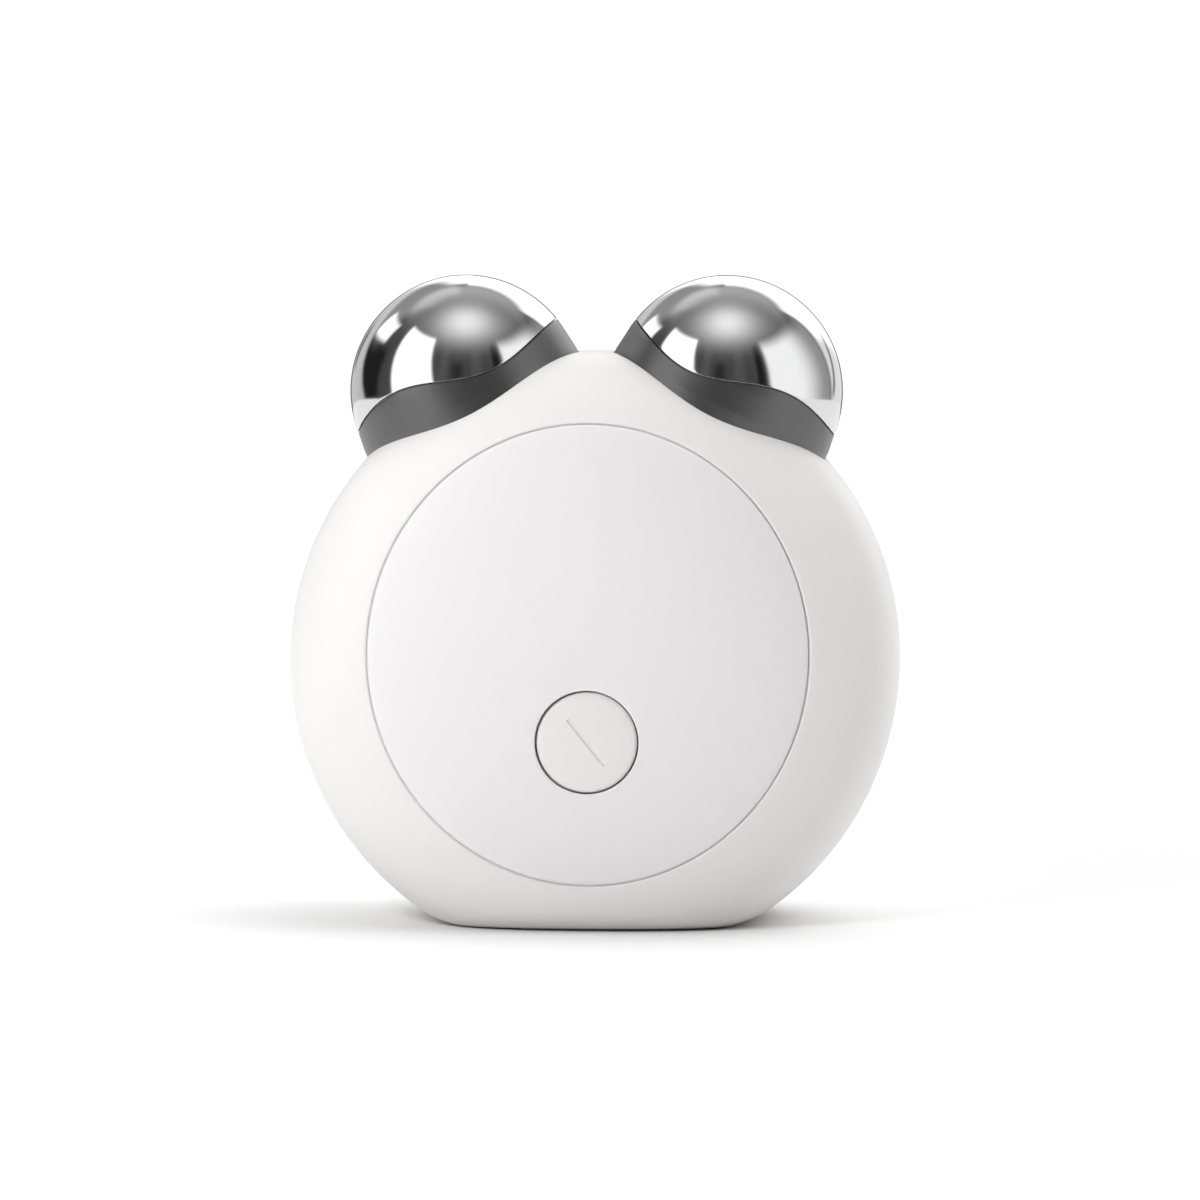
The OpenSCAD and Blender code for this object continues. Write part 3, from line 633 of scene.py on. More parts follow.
@dataclass
class Housing:
    """The two shells, the oval panel in the front one and its button."""

    form: BodyForm
    wall: float = 2.0
    panel_t: float = 1.6
    tape_t: float = 0.2
    tongue_l: float = 1.4
    tongue_t: float = 0.95
    seal_t: float = 0.6
    seam_gap: float = 0.15
    seam_round: float = 0.14
    recess_gap: float = 0.13
    ledge_gap: float = 0.03
    ledge_deep: float = 0.42
    lip_round: float = 0.4
    panel_bevel: Pair = (0.55, 0.2)
    hole_bevel: Pair = (0.18, 0.18)
    button_gap: float = 0.2
    guide_gap: float = 0.08
    button_edge: float = 0.5
    button_crown: float = 0.25
    button_inset: float = 0.1
    flange_lip: float = 1.2
    flange_y: float = -16.2
    flange_t: float = 0.9
    stem_r: float = 1.6
    stem_l: float = 0.5
    button_columns: int = 128
    groove_l: float = 7.2
    groove_w: float = 0.55
    groove_lean: float = 39.0
    groove_depth: float = 0.3
    groove_edge: float = 0.12
    jack_seat_r: float = 3.95
    jack_round: float = 0.3
    socket_r: float = 14.65
    socket_l: float = 30.0
    head_angle: float = 26.0
    socket_floor: float = 28.2
    oval: Oval = field(init=False)
    button: Oval = field(init=False)
    jack: Oval = field(init=False)

    def __post_init__(self) -> None:
        """Reads the panel's, the button's and the jack's places from the frame."""
        self.oval = self._oval_of("front_panel")
        self.button = self._oval_of("power_button").grown(-self.flange_lip)
        self.jack = Oval(self.jack_seat_r, self.jack_seat_r, self._oval_of("charging_jack").z)

    @staticmethod
    def _oval_of(node: str) -> Oval:
        """The oval that a node fills, seen from the front."""
        low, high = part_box(node)
        return Oval(
            (high.x - low.x) / 2 / MM, (high.z - low.z) / 2 / MM, (high.z + low.z) / 2 / MM
        )

    def build_front_shell(self) -> Piece:
        """Models the front shell: recess, rounded lip, crown, seam, tongue and inside.

        Returns:
            The shell.
        """
        stack = self.panel_t + self.tape_t
        hole, mouth = self.button.grown(self.guide_gap), self.oval.grown(self.recess_gap)
        narrow = self.ledge_gap - self.recess_gap

        def floor(t: float) -> Ring:
            return self._face(lambda a: mixed(hole.point(a), mouth.point(a, narrow), t), -1, stack)

        def lip(grow: float, deep: float) -> Ring:
            return self._face(lambda a: mouth.point(a, grow), -1, deep=deep)

        wall = RingWall("shell_front", self.form.columns, floor(0.0))
        wall.grow(*[floor(t) for t in (0.25, 0.5, 0.75, 1.0)])
        wall.grow(lip(narrow, self.ledge_deep), lip(0.0, self.ledge_deep))
        wall.grow(*[lip(self.lip_round * out, self.lip_round * down) for out, down in quarter(5)])
        wall.grow(*self._outside(mouth, self.lip_round, -1, 46))
        wall.grow(*self._seam(0.0, -1), *self._step(0.0, self.tongue_l))
        wall.grow(*self._inside(hole, -1, stack + self.wall), floor(0.0))
        wall.weld()
        return wall.done()

    def build_rear_shell(self) -> Piece:
        """Models the rear shell: seat of the jack, crown, seam, rebate and inside.

        Returns:
            The shell.
        """

        def mouth(grow: float, deep: float) -> Ring:
            return self._face(lambda a: self.jack.point(a, grow), 1, deep=deep)

        r = self.jack_round
        inner = mouth(0.0, r + self.wall)
        wall = RingWall("shell_rear", self.form.columns, inner)
        wall.grow(*[mouth(r * out, r * down) for out, down in quarter(4)])
        wall.grow(*self._outside(self.jack, r, 1, 64))
        wall.grow(*self._seam(self.seam_gap, 1))
        wall.grow(*self._step(self.seam_gap, self.tongue_l + self.seal_t))
        wall.grow(*self._inside(self.jack, 1, self.wall), inner)
        wall.weld()
        return wall.done()

    def _face(
        self, point: Callable[[float], Pair], side: int, sunk: float = 0.0, deep: float = 0.0,
        inset: float = 0.0,
    ) -> Ring:
        """A ring of face points at the half depth of the crown there, less deep."""

        def spot(k: int) -> Spot:
            x, z = point(self.form.angle(k))
            return (x, side * (self.form.depth(x, z, sunk, inset) - deep), z)

        return spot

    def _outside(self, mouth: Oval, grow: float, side: int, steps: int) -> list[Ring]:
        """Rings of the outer face, from an opening to the seam."""
        angles = [self.form.angle(k) for k in range(self.form.columns)]
        lines = [self.form.section(mouth.point(a, grow), a, steps) for a in angles]

        def ring(i: int) -> Ring:
            return lambda k: (lines[k][i][0], side * lines[k][i][1], lines[k][i][2])

        return [ring(i) for i in range(1, steps)]

    def _rim(self, inset: float, y: float) -> Ring:
        """The ring of the outline moved in by inset, at a depth."""

        def spot(k: int) -> Spot:
            x, z = self.form.rim(self.form.angle(k), inset)
            return (x, y, z)

        return spot

    def _seam(self, y: float, side: int) -> list[Ring]:
        """Rings that round the edge of the seam."""
        r = self.seam_round
        return [self._rim(r * out, y + side * r * down) for out, down in quarter(3)]

    def _step(self, near: float, far: float) -> list[Ring]:
        """Rings of the step at the seam, from one depth to another and over to the inside."""
        inset = self.wall - self.tongue_t
        return [self._rim(inset, near), self._rim(inset, far), self._rim(self.wall, far)]

    def _inside(self, hole: Oval, side: int, sunk: float) -> list[Ring]:
        """Rings of the inner wall, from the seam to a hole in the face."""
        steps = 14

        def ring(share: float) -> Ring:
            def point(a: float) -> Pair:
                return mixed(hole.point(a), self.form.rim(a, self.wall), share)

            return self._face(point, side, sunk, inset=self.wall)

        return [ring(1 - (i / steps) ** 3) for i in range(1, steps + 1)]

    def cut_sockets(self, shell: Piece) -> None:
        """Takes the two tilted round sockets of the heads out of a shell.

        Args:
            shell: The shell to cut.
        """
        tilt = math.radians(self.head_angle)
        along = self.socket_floor + self.socket_l / 2
        for side in (-1, 1):
            deselect()
            middle = (side * along * math.sin(tilt), 0, self.form.centre_z + along * math.cos(tilt))
            bpy.ops.mesh.primitive_cylinder_add(
                vertices=192,
                radius=self.socket_r * MM,
                depth=self.socket_l * MM,
                location=Vector(middle) * MM,
                rotation=(0, side * tilt, 0),
            )
            cut_away(shell, bpy.context.active_object)
        smooth(shell)

    def build_panel(self) -> Piece:
        """Models the oval panel, with its round hole for the button.

        Returns:
            The panel.
        """
        hole_r = self.button.half_w + self.button_gap
        hole, steps = Oval(hole_r, hole_r, self.button.z), 26

        def face(t: float) -> Ring:
            def point(a: float) -> Pair:
                inner = hole.point(a, self.hole_bevel[0])
                return mixed(inner, self.oval.point(a, -self.panel_bevel[0]), t)

            return self._face(point, -1)

        def edge(line: Oval, side: int, bevel: Pair, turn: Pair) -> Ring:
            grow = side * bevel[0] * turn[1]
            return self._face(lambda a: line.point(a, grow), -1, deep=bevel[1] * turn[0])

        def back(t: float) -> Ring:
            return self._face(lambda a: mixed(self.oval.point(a), hole.point(a), t), -1, self.panel_t)

        turns = quarter(4)
        rim = [edge(hole, 1, self.hole_bevel, turn) for turn in reversed(turns)]
        wall = RingWall("oval_panel", self.form.columns, rim[0])
        wall.grow(*rim[1:], *[face(i / steps) for i in range(1, steps + 1)])
        wall.grow(*[edge(self.oval, -1, self.panel_bevel, turn) for turn in turns[1:]])
        wall.grow(*[back(t) for t in (0.0, 0.33, 0.67, 1.0)], rim[0])
        wall.weld()
        return wall.done()

    def build_button(self) -> Piece:
        """Models the button, with its flange, its crowned face and the plain groove.

        Returns:
            The button.
        """
        r, steps = self.button.half_w, 12
        face = -self.form.half_depth + self.button_inset
        flange, back = r + self.flange_lip, self.flange_y + self.flange_t
        profile = [(self.stem_r, back + self.stem_l), (self.stem_r, back), (flange, back)]
        profile += [(flange, self.flange_y), (r, self.flange_y)]
        shoulder = face + self.button_crown
        edge = self.button_edge
        profile += [(r - edge * out, shoulder + edge * down) for out, down in quarter(6)]
        for i in range(1, steps + 1):
            share = 1 - i / steps
            profile.append(((r - edge) * max(share, 0.02), face + self.button_crown * share**2))
        wall = turned("button_cap", self.button_columns, profile, self.button.z)
        wall.to_pole()
        wall.fill_ends()
        cap = wall.done()
        cut_away(cap, self._groove(face))
        smooth(cap, 25)
        return cap

    def _groove(self, face: float) -> Piece:
        """A leaning bar with soft edges that cuts the groove."""
        deselect()
        bpy.ops.mesh.primitive_cube_add(size=2.0)
        bar = bpy.context.active_object
        half = Vector((self.groove_w / 2, self.groove_depth, self.groove_l / 2))
        lean = math.radians(self.groove_lean)
        bpy.ops.object.mode_set(mode="EDIT")
        mesh = bmesh.from_edit_mesh(bar.data)
        for vert in mesh.verts:
            x, y, z = (vert.co[i] * half[i] for i in range(3))
            across = x * math.cos(lean) - z * math.sin(lean)
            up = x * math.sin(lean) + z * math.cos(lean)
            vert.co = [MM * c for c in (across, face + y, self.button.z + up)]
        bmesh.update_edit_mesh(bar.data)
        bpy.ops.mesh.select_all(action="SELECT")
        bpy.ops.mesh.bevel(offset=self.groove_edge * MM, segments=3, affect="EDGES")
        bpy.ops.object.mode_set(mode="OBJECT")
        recalculate(bar)
        return bar


# ---------------------------------------------------------------- the heads


@dataclass
class Head:
    """A polished dome and the dark collar that holds it, on a tilted axis."""

    centre_z: float
    dome_r: float = field(init=False)
    reach: float = 36.7
    tilt: float = 26.0
    wave_mid: float = 2.3
    wave_amp: float = 1.35
    wave_len: float = 24.6
    wave_shift: float = 0.9
    outer_fall: float = 0.9
    fall_power: float = 6.0
    wave_gap: float = 0.2
    groove_in: float = 0.45
    seat_gap: float = 0.02
    dome_edge: float = 0.025
    collar_edge: float = 0.08
    collar_t: float = 1.3
    collar_depth: float = 5.0
    collar_floor_t: float = 2.0
    flare: float = 0.25
    flare_foot: float = -1.2
    flare_top: float = 1.4
    spigot_gap: float = 0.05
    dome_hole_r: float = 2.6
    collar_hole_r: float = 2.8
    edge_steps: int = 5
    columns: int = 192

    def __post_init__(self) -> None:
        """Reads the domes' radius from the frame."""
        axis_top = self.centre_z + self.reach * math.cos(math.radians(self.tilt))
        self.dome_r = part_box("right_dome")[1].z / MM - axis_top

    def wave(self, x: float) -> float:
        """Height of the waved edge at a distance from the axis, outwards positive."""
        fall = self.outer_fall * (max(0.0, x) / self.dome_r) ** self.fall_power
        turn = math.tau * (x - self.wave_shift) / self.wave_len
        return self.wave_mid + self.wave_amp * math.sin(turn) - fall

    def azimuth(self, column: int) -> float:
        """Direction of a column round the head's axis, in radians from outwards."""
        return math.tau * column / self.columns

    def edge(self, azimuth: float, lift: float) -> Pair:
        """Where the wave, lifted a little, crosses the sphere.

        Args:
            azimuth: The direction from the axis.
            lift: How far above the wave's middle line.

        Returns:
            Distance from the axis, and height.
        """
        w = self.wave_mid
        for _ in range(30):
            r = math.sqrt(self.dome_r**2 - w**2)
            w = self.wave(r * math.cos(azimuth)) + lift
        return (math.sqrt(self.dome_r**2 - w**2), w)

    def spot(self, azimuth: float, r: float, w: float) -> Spot:
        """A point of the right-hand head, given round its own axis, in the frame."""
        tilt = math.radians(self.tilt)
        out, toward = r * math.cos(azimuth), r * math.sin(azimuth)
        x = out * math.cos(tilt) + (self.reach + w) * math.sin(tilt)
        z = self.centre_z - out * math.sin(tilt) + (self.reach + w) * math.cos(tilt)
        return (x, -toward, z)

    def _ring(self, place: Callable[[float], Pair]) -> Ring:
        """A ring from each azimuth's distance and height."""
        return lambda k: self.spot(self.azimuth(k), *place(self.azimuth(k)))

    def _level(self, r: float, w: float) -> Ring:
        """A flat ring of one radius and height."""
        return self._ring(lambda a: (r, w))

    def _inner(self, azimuth: float, r: float, lift: float) -> Pair:
        """A point on the waved face at a distance from the axis."""
        return (r, self.wave(r * math.cos(azimuth)) + lift)

    def _soft_edge(self, azimuth: float, lift: float, size: float, up: int) -> list[Vector]:
        """Points that round the edge between the sphere and the waved face."""
        r, w = self.edge(azimuth, lift)
        turn = math.atan2(w, r) + up * size / self.dome_r
        start = Vector((self.dome_r * math.cos(turn), self.dome_r * math.sin(turn)))
        end = Vector(self._inner(azimuth, r - size, lift))
        return rounded(start, Vector((r, w)), end, self.edge_steps)

    def _soft(self, lift: float, size: float, up: int) -> list[Ring]:
        """Rings of the rounded edge, from the sphere to the waved face."""

        def ring(i: int) -> Ring:
            return self._ring(lambda a: tuple(self._soft_edge(a, lift, size, up)[i]))

        return [ring(i) for i in range(self.edge_steps + 1)]

    def build_dome(self) -> Piece:
        """Models the right dome: spigot, waved face, rounded edge and sphere.

        Returns:
            The dome.
        """
        bore = self.dome_r - self.collar_t
        spigot = bore - self.spigot_gap
        foot = -self.collar_depth + self.collar_floor_t
        lift = self.wave_gap / 2
        steps = 72

        def ball(i: int) -> Ring:
            def place(a: float) -> Pair:
                r, w = self._soft_edge(a, lift, self.dome_edge, 1)[0]
                low = math.atan2(w, r)
                turn = low + (math.pi / 2 - low) * min(i / steps, 0.996)
                return (self.dome_r * math.cos(turn), self.dome_r * math.sin(turn))

            return self._ring(place)

        wall = RingWall("dome_right", self.columns, self._level(self.dome_hole_r, -self.collar_depth))
        wall.grow(self._level(self.dome_hole_r, foot), self._level(spigot, foot))
        wall.grow(self._ring(lambda a: self._inner(a, spigot, lift)))
        wall.grow(*reversed(self._soft(lift, self.dome_edge, 1)))
        wall.grow(*[ball(i) for i in range(1, steps + 1)])
        wall.to_pole()
        wall.fill_ends()
        return wall.done()

    def build_collar(self) -> Piece:
        """Models the right collar: foot, flared wall, waved edge and bore.

        Returns:
            The collar.
        """
        skirt = self.dome_r + self.flare
        bore = self.dome_r - self.collar_t
        floor = -self.collar_depth + self.collar_floor_t
        lift = -self.wave_gap / 2
        close = -lift - self.seat_gap

        def outside(t: float) -> Ring:
            def place(a: float) -> Pair:
                top = self._soft_edge(a, lift, self.collar_edge, -1)[0]
                w = self.flare_foot + (top.y - self.flare_foot) * t
                ball_from = min(self.flare_top, top.y)
                if w > ball_from:
                    return (math.sqrt(self.dome_r**2 - w**2), w)
                part = (w - self.flare_foot) / (ball_from - self.flare_foot)
                ball = math.sqrt(self.dome_r**2 - ball_from**2)
                return (skirt + (ball - skirt) * part, w)

            return self._ring(place)

        inner = self._level(self.collar_hole_r, floor)
        wall = RingWall("collar_right", self.columns, inner)
        wall.grow(self._level(self.collar_hole_r, -self.collar_depth))
        wall.grow(self._level(skirt, -self.collar_depth))
        wall.grow(*[outside(i / 16) for i in range(16)])
        wall.grow(*self._soft(lift, self.collar_edge, -1))
        for height in (lift, close):
            wall.grow(self._ring(lambda a: self._inner(a, self.edge(a, lift)[0] - self.groove_in, height)))
        wall.grow(self._ring(lambda a: self._inner(a, bore, close)), self._level(bore, floor), inner)
        wall.weld()
        return wall.done()


# ---------------------------------------------------------------- the charging jack


@dataclass
class ChargingJack:
    """The round charging socket at the back, with its soft ring."""

    bore_r: float = 1.25
    bore_l: float = 8.0
    wall: float = 1.7
    back_t: float = 1.2
    pin_hole_r: float = 0.3
    seal_w: float = 1.0
    seal_t: float = 0.9
    flange_deep: float = 2.6
    flange_w: float = 1.2
    flange_t: float = 1.0
    columns: int = 96

    def __post_init__(self) -> None:
        """Reads the jack's place from the frame."""
        low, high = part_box("charging_jack")
        self.z = (low.z + high.z) / 2 / MM
        self.face_y = high.y / MM

    def _closed(self, name: str, profile: list[Pair]) -> Piece:
        """A closed ring turned round the jack's axis from pairs of radius and depth."""
        line = [(r, self.face_y - deep) for r, deep in (*profile, profile[0])]
        wall = turned(name, self.columns, line, self.z)
        wall.weld()
        return wall.done()

    @staticmethod
    def _arc(r: float, size: float, side: int) -> list[Pair]:
        """Pairs that round an edge of the face, from the face down for side 1."""
        pairs = [(r - side * size * down, size * out) for out, down in quarter(4)]
        return pairs if side > 0 else pairs[::-1]

    def build_body(self) -> Piece:
        """Models the jack's body with its bore.

        Returns:
            The body.
        """
        r, total = self.bore_r + self.wall, self.bore_l + self.back_t
        flange, under = r + self.flange_w, self.flange_deep + self.flange_t
        profile = self._arc(self.bore_r, 0.35, -1) + self._arc(r, 0.25, 1)
        profile += [(r, self.flange_deep), (flange, self.flange_deep), (flange, under), (r, under)]
        profile += [(r, total), (self.pin_hole_r, total), (self.pin_hole_r, self.bore_l)]
        return self._closed("jack_body", [*profile, (self.bore_r, self.bore_l)])

    def build_ring(self) -> Piece:
        """Models the soft ring round the jack.

        Returns:
            The ring.
        """
        inner = self.bore_r + self.wall
        outer = inner + self.seal_w
        profile = self._arc(inner, 0.3, -1) + self._arc(outer, 0.3, 1)
        return self._closed("jack_ring", [*profile, (outer, self.seal_t), (inner, self.seal_t)])


# ---------------------------------------------------------------- studio


@dataclass(frozen=True)
class Patch:
    """A bright or dark area of the studio as polished metal sees it, in degrees.

    Azimuth is 0 towards the camera and positive to the right of the picture. Each range holds
    where the area starts, where it is full, where it is full to, and where it ends. Lean is how
    far the sides move to the left, and climb how far the ends rise to the right, for each degree.
    """

    level: float
    azimuth: tuple[float, float, float, float]
    elevation: tuple[float, float, float, float]
    lean: float = 0.0
    climb: float = 0.0


class NodeBook:
    """Short ways to add value nodes to a tree."""

    def __init__(self, tree: Tree) -> None:
        """Keeps the tree that nodes are added to."""
        self.tree = tree

    def _feed(self, socket: Socket, value: Value) -> None:
        """Links a socket or sets its number."""
        if isinstance(value, (int, float)):
            socket.default_value = value
        else:
            self.tree.links.new(value, socket)

    def math(self, operation: str, a: Value, b: Value = 0.0) -> Socket:
        """Adds one Math node and returns its result."""
        node = self.tree.nodes.new("ShaderNodeMath")
        node.operation = operation
        self._feed(node.inputs[0], a)
        self._feed(node.inputs[1], b)
        return node.outputs[0]

    def total(self, start: Value, *terms: tuple[Socket, Value]) -> Socket:
        """Adds the product of each pair to a start."""
        for a, b in terms:
            start = self.math("ADD", start, self.math("MULTIPLY", a, b))
        return start

    def ramp(self, value: Socket, low: float, high: float) -> Socket:
        """A smooth step from 0 at low to 1 at high."""
        node = self.tree.nodes.new("ShaderNodeMapRange")
        node.interpolation_type = "SMOOTHSTEP"
        node.inputs["From Min"].default_value = low
        node.inputs["From Max"].default_value = high
        self.tree.links.new(value, node.inputs["Value"])
        return node.outputs["Result"]

    def window(self, value: Socket, places: tuple[float, float, float, float]) -> Socket:
        """1 between the middle two places, 0 outside the outer two, smooth between."""
        return self.math("SUBTRACT", self.ramp(value, *places[:2]), self.ramp(value, *places[2:]))

    def beam(self, facing: Socket, power: float) -> Socket:
        """A round glow that falls off from where facing is 1."""
        return self.math("POWER", self.math("MAXIMUM", facing, 0.0), power)

    def blend(self, a: Value, b: Value, share: Socket) -> Socket:
        """a where share is 0 and b where it is 1."""
        node = self.tree.nodes.new("ShaderNodeMix")
        node.data_type = "FLOAT"
        self._feed(node.inputs[2], a)
        self._feed(node.inputs[3], b)
        self.tree.links.new(share, node.inputs[0])
        return node.outputs[0]


@dataclass
class Studio:
    """Floor, light and camera.

    Wash is the light that matte pieces see: its level and how it changes along x, y and z. Glow
    is the strength and the sharpness of a second light from glow_way.
    """

    centre_z: float
    yaw: float = 3.4
    elevation: float = 4.93
    distance: float = 800.0
    sensor_mm: float = 36.0
    pixels_per_mm: float = 8.083
    picture: float = 1200.0
    centre_px: Pair = (596.4, 657.4)
    floor_r: float = 700.0
    # Painted shadow on the floor: its colour goes from the first tone near the object to the second past
    # the fade, whose two distances are millimetres from the centre.
    floor_painted_shadow_tones: Pair = (0.85, 0.92)
    floor_painted_shadow_fade: Pair = (55.0, 200.0)
    lamp: Spot = (-87.0, -148.0, 111.0)
    lamp_size: float = 60.0
    lamp_power: float = 0.15
    wash: tuple[float, float, float, float] = (0.713, -0.257, 0.857, -0.203)
    glow_way: Spot = (0.466, 0.018, 0.885)
    glow: Pair = (3.0, 7.8)
    backdrop: float = 1.05
    darkest: float = 0.012
    ceiling: Spot = (0.075, 0.13, 0.33)
    ceiling_lamp: Pair = (0.95, 14.0)
    ceiling_way: Pair = (-0.27, 0.963)
    doorway: Pair = (21.0, 15.5)
    doorway_dark: float = 0.86
    room: tuple[Patch, ...] = (
        Patch(1.5, (-80.0, -76.0, -32.0, -28.0), (-32.0, -28.0, 49.0, 53.0), lean=0.27),
        Patch(1.3, (-141.0, -136.0, -113.0, -108.5), (22.5, 27.0, 36.5, 41.0), climb=0.25),
        Patch(1.5, (-187.0, -182.0, -176.0, -166.0), (-35.0, -25.0, 39.0, 49.0)),
        Patch(0.6, (-200.0, -190.0, -130.0, -120.0), (-36.0, -24.0, 20.0, 30.0), lean=0.8),
        Patch(-0.5, (-163.0, -158.0, -155.0, -150.0), (0.0, 5.0, 10.0, 15.0)),
        Patch(0.26, (-178.0, -168.0, -134.0, -112.0), (16.0, 28.0, 56.0, 72.0)),
        Patch(1.15, (40.0, 46.0, 76.0, 118.0), (-35.0, -25.0, 38.0, 52.0)),
        Patch(0.3, (76.0, 118.0, 119.0, 133.0), (-35.0, -25.0, 34.0, 48.0)),
        Patch(1.5, (124.5, 131.5, 181.0, 186.0), (-36.0, -24.0, 43.0, 52.0)),
        Patch(-0.65, (126.0, 132.0, 170.0, 182.0), (-40.0, -30.0, 6.0, 14.0), climb=-0.6),
        Patch(-0.7, (128.5, 132.0, 134.0, 137.5), (-6.0, -1.0, 15.0, 20.0), lean=-0.6),
        Patch(-0.07, (29.5, 32.5, 37.0, 40.0), (-32.0, -28.0, 44.5, 47.5)),
        Patch(-0.06, (-139.0, -129.0, -103.0, -93.0), (-13.0, -3.0, 21.0, 31.0)),
        Patch(-0.045, (-19.0, -9.0, -8.0, 2.0), (7.0, 17.0, 25.0, 35.0)),
        Patch(0.035, (-31.0, -25.0, -22.0, -16.0), (2.0, 12.0, 38.0, 50.0)),
        Patch(0.03, (4.0, 9.0, 15.0, 21.0), (2.0, 12.0, 36.0, 50.0)),
    )

    def axes(self) -> tuple[Vector, Vector, Vector]:
        """Unit vectors from the object to the camera, to its right and upwards."""
        yaw, rise = math.radians(self.yaw), math.radians(self.elevation)
        level = math.cos(rise)
        back = Vector((math.sin(yaw) * level, -math.cos(yaw) * level, math.sin(rise)))
        right = Vector((math.cos(yaw), math.sin(yaw), 0.0))
        return back, right, back.cross(right)

    @staticmethod
    def _aim(thing: Piece, target: Vector) -> None:
        """Turns a camera or a light towards a place."""
        thing.rotation_mode = "QUATERNION"
        thing.rotation_quaternion = (target - thing.location).to_track_quat("-Z", "Y")

    def build_camera(self) -> None:
        """Puts the camera at the photograph's viewing angle."""
        back, right, up = self.axes()
        middle = Vector((0, 0, self.centre_z * MM))
        half = self.picture / 2
        over = (half - self.centre_px[0]) / self.pixels_per_mm
        above = (self.centre_px[1] - half) / self.pixels_per_mm
        deselect()
        bpy.ops.object.camera_add(location=middle + back * self.distance * MM)
        camera = bpy.context.active_object
        camera.name = "photo_camera"
        self._aim(camera, middle + (right * over + up * above) * MM)
        camera.data.sensor_width = self.sensor_mm
        camera.data.lens = self.sensor_mm * self.distance * self.pixels_per_mm / self.picture
        camera.data.clip_start, camera.data.clip_end = 0.01, 50.0
        bpy.context.scene.camera = camera

    def build_floor(self) -> None:
        """Lays the pale floor, with a painted shadow that makes it a little darker near the object and
        lighter away from it.
        """
        deselect()
        bpy.ops.mesh.primitive_circle_add(
            vertices=128, radius=self.floor_r * MM, fill_type="NGON", location=(0, 0, -0.02 * MM)
        )
        floor = bpy.context.active_object
        floor.name = "studio_floor"
        material = bpy.data.materials.new("StudioFloor")
        material.use_nodes = True
        tree = material.node_tree
        shader = tree.nodes["Principled BSDF"]
        place = tree.nodes.new("ShaderNodeTexCoord")
        away = tree.nodes.new("ShaderNodeVectorMath")
        away.operation = "LENGTH"
        tree.links.new(place.outputs["Object"], away.inputs[0])
        book = NodeBook(tree)
        near, far = (edge * MM for edge in self.floor_painted_shadow_fade)
        # Painted shadow: the floor's colour blends from the darker tone near the object to the lighter one
        # farther out.
        painted_shadow_tone = book.blend(*self.floor_painted_shadow_tones, book.ramp(away.outputs["Value"], near, far))
        tree.links.new(painted_shadow_tone, shader.inputs["Base Color"])
        shader.inputs["Roughness"].default_value = 0.9
        shader.inputs["Specular IOR Level"].default_value = 0.0
        floor.data.materials.append(material)

    def build_light(self) -> None:
        """Adds the soft lamp at the upper left, near the object."""
        deselect()
        bpy.ops.object.light_add(type="AREA", location=Vector(self.lamp) * MM)
        light = bpy.context.active_object
        light.name = "soft_lamp"
        light.data.shape = "DISK"
        light.data.size = self.lamp_size * MM
        light.data.energy = self.lamp_power
        light.visible_glossy = False
        light.visible_camera = False
        self._aim(light, Vector((0, 0, self.centre_z * MM)))

    def build_world(self) -> None:
        """Paints the room: white to the eye, a soft wash on matte pieces, panels in the metal."""
        world = bpy.data.worlds.new("Studio")
        bpy.context.scene.world = world
        world.use_nodes = True
        tree = world.node_tree
        tree.nodes.clear()
        book = NodeBook(tree)
        turn = tree.nodes.new("ShaderNodeVectorRotate")
        turn.rotation_type = "Z_AXIS"
        turn.inputs["Angle"].default_value = -math.radians(self.yaw)
        place = tree.nodes.new("ShaderNodeTexCoord")
        tree.links.new(place.outputs["Generated"], turn.inputs["Vector"])
        split = tree.nodes.new("ShaderNodeSeparateXYZ")
        tree.links.new(turn.outputs["Vector"], split.inputs["Vector"])
        x, y, z = (split.outputs[i] for i in range(3))
        toward = book.math("ARCTAN2", x, book.math("MULTIPLY", y, -1.0))
        azimuth = book.math("MULTIPLY", toward, math.degrees(1.0))
        rise = book.math("MULTIPLY", book.math("ARCSINE", z), math.degrees(1.0))
        metal = self._ceiling(book, rise, y, z)
        for patch in self.room:
            off = book.math("SUBTRACT", azimuth, (patch.azimuth[1] + patch.azimuth[2]) / 2)
            leant = book.total(azimuth, (rise, patch.lean))
            climbed = book.math("SUBTRACT", rise, book.math("MULTIPLY", off, patch.climb))
            across, upward = book.window(leant, patch.azimuth), book.window(climbed, patch.elevation)
            metal = book.total(metal, (book.math("MULTIPLY", across, upward), patch.level))
        metal = book.math("MAXIMUM", metal, self.darkest)
        metal = book.math("MULTIPLY", metal, self._doorway(book, y, z))
        wash = book.total(self.wash[0], *zip((x, y, z), self.wash[1:]))
        facing = book.total(0.0, *zip((x, y, z), self.glow_way))
        wash = book.total(wash, (book.beam(facing, self.glow[1]), self.glow[0]))
        wash = book.math("MAXIMUM", wash, 0.0)
        rays = tree.nodes.new("ShaderNodeLightPath")
        light = book.blend(wash, metal, rays.outputs["Is Glossy Ray"])
        light = book.blend(light, self.backdrop, rays.outputs["Is Camera Ray"])
        sky = tree.nodes.new("ShaderNodeBackground")
        tree.links.new(light, sky.inputs["Color"])
        out = tree.nodes.new("ShaderNodeOutputWorld")
        tree.links.new(sky.outputs["Background"], out.inputs["Surface"])

    def _ceiling(self, book: NodeBook, rise: Socket, y: Socket, z: Socket) -> Socket:
        """The grey of the room, lighter overhead behind, with a soft round light above."""
        base, overhead, rear = self.ceiling
        behind = book.math("MULTIPLY", book.ramp(y, 0.05, 0.6), book.ramp(rise, 44.0, 54.0))
        grey = book.total(base, (book.ramp(rise, 34.0, 62.0), overhead), (behind, rear))
        facing = book.total(0.0, *zip((y, z), self.ceiling_way))
        level, power = self.ceiling_lamp
        return book.total(grey, (book.beam(facing, power), level))

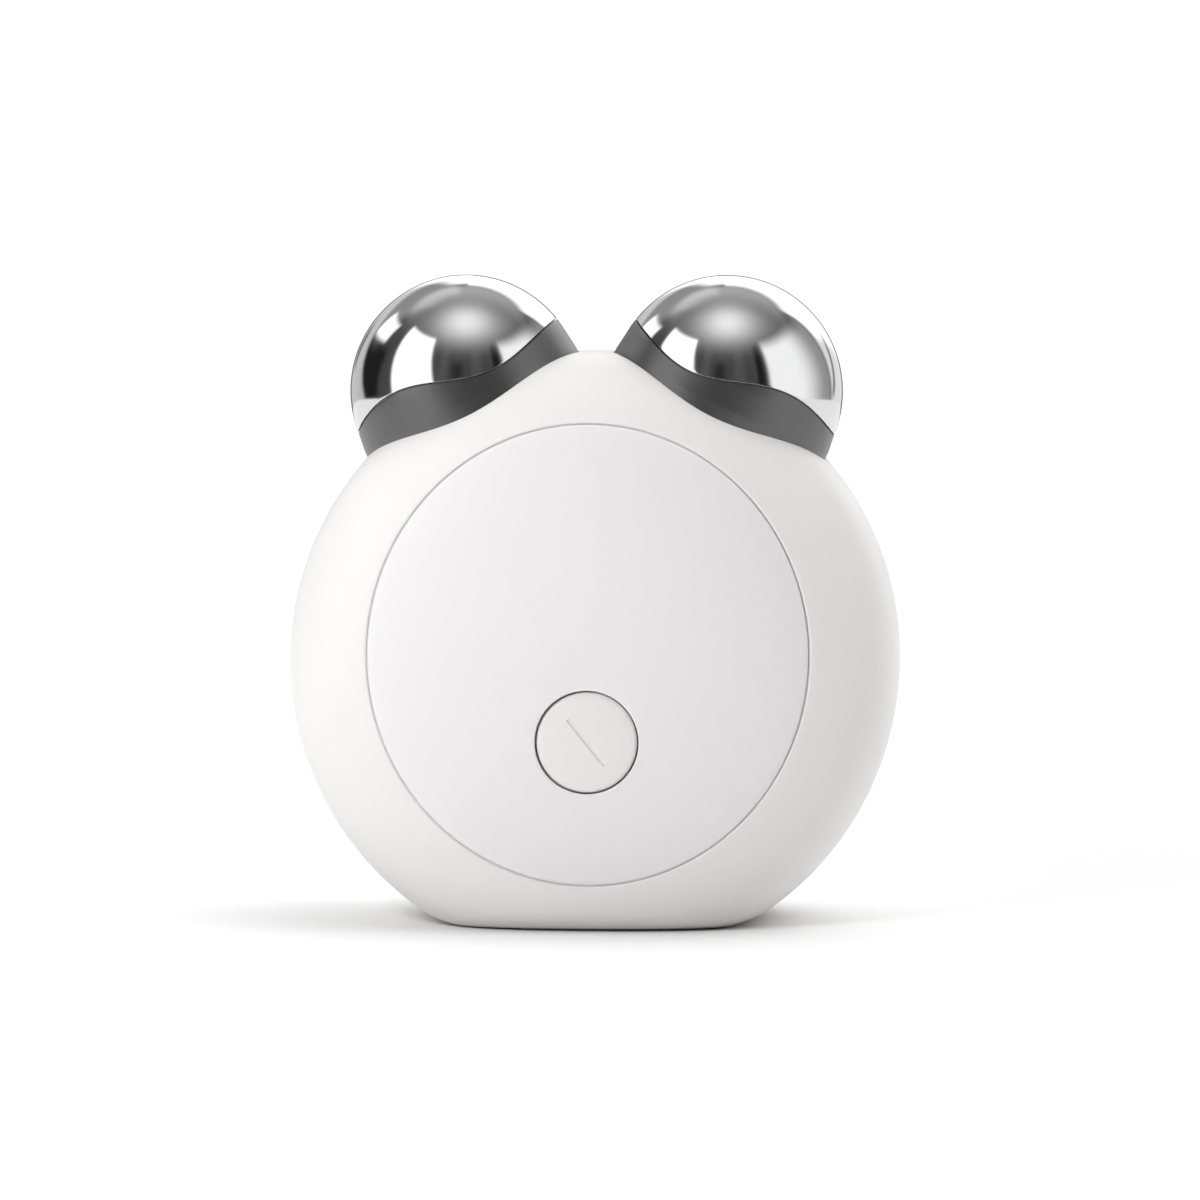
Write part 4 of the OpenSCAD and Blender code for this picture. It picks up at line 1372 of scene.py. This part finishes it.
    def _doorway(self, book: NodeBook, y: Socket, z: Socket) -> Socket:
        """How much is left of the light straight behind, which draws the domes' thin outline."""
        rise = math.radians(self.elevation)
        away = book.total(0.0, (y, math.cos(rise)), (z, -math.sin(rise)))
        dark = book.ramp(away, *(math.cos(math.radians(a)) for a in self.doorway))
        return book.math("SUBTRACT", 1.0, book.math("MULTIPLY", dark, self.doorway_dark))


# ---------------------------------------------------------------- assembly


class Slot(Enum):
    """Finish slots of the record, by name; no piece is given one in this script."""

    SHELL = "shell"
    PANEL = "panel"
    BUTTON = "button"
    DOME = "dome"
    COLLAR = "collar"
    JACK = "jack"
    JACK_SEAL = "jack_seal"


class Dresser:
    """Seats finished pieces on the frame's bodies."""

    def __init__(self, wardrobe: Wardrobe) -> None:
        """Keeps the wardrobe that finishes come from."""
        self.wardrobe = wardrobe

    def seat(
        self, piece: Piece, node: str, finish: Finish, body: str = "housing"
    ) -> None:
        """Rides a piece on its body in place of a frame node.

        Args:
            piece: The new piece.
            node: The node that it stands for.
            finish: Its finish.
            body: The body that carries it.
        """
        self.wardrobe.dress(piece, finish)
        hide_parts(node)
        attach(piece, body)
        LOG.info("%s stands for %s, %d faces", piece.name, node, len(piece.data.polygons))


def main() -> None:
    """Builds the pieces, the studio and the camera."""
    logging.basicConfig(level=logging.INFO, format="%(name)s: %(message)s")
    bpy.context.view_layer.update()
    low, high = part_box("rear_shell")
    form = BodyForm(radius=(high.x - low.x) / 2 / MM, half_depth=high.y / MM)
    wardrobe = Wardrobe()
    wardrobe.dress_inside(frame["nodes"])
    dresser = Dresser(wardrobe)

    housing = Housing(form)
    front, rear = housing.build_front_shell(), housing.build_rear_shell()
    housing.cut_sockets(front)
    housing.cut_sockets(rear)
    dresser.seat(front, "front_shell", SHELL)
    dresser.seat(rear, "rear_shell", SHELL)
    dresser.seat(housing.build_panel(), "front_panel", PANEL)
    dresser.seat(housing.build_button(), "power_button", BUTTON, "button")

    head = Head(form.centre_z)
    dome, collar = head.build_dome(), head.build_collar()
    dresser.seat(mirrored_copy(dome, "dome_left"), "left_dome", CHROME)
    dresser.seat(mirrored_copy(collar, "collar_left"), "left_collar", COLLAR)
    dresser.seat(dome, "right_dome", CHROME)
    dresser.seat(collar, "right_collar", COLLAR)

    jack = ChargingJack()
    dresser.seat(jack.build_body(), "charging_jack", BLACK_PLASTIC)
    dresser.seat(jack.build_ring(), "jack_seal", JACK_RUBBER)

    studio = Studio(form.centre_z)
    studio.build_floor()
    studio.build_light()
    studio.build_world()
    studio.build_camera()
    bpy.context.scene.view_settings.view_transform = "Standard"


if __name__ == "__main__":
    main()
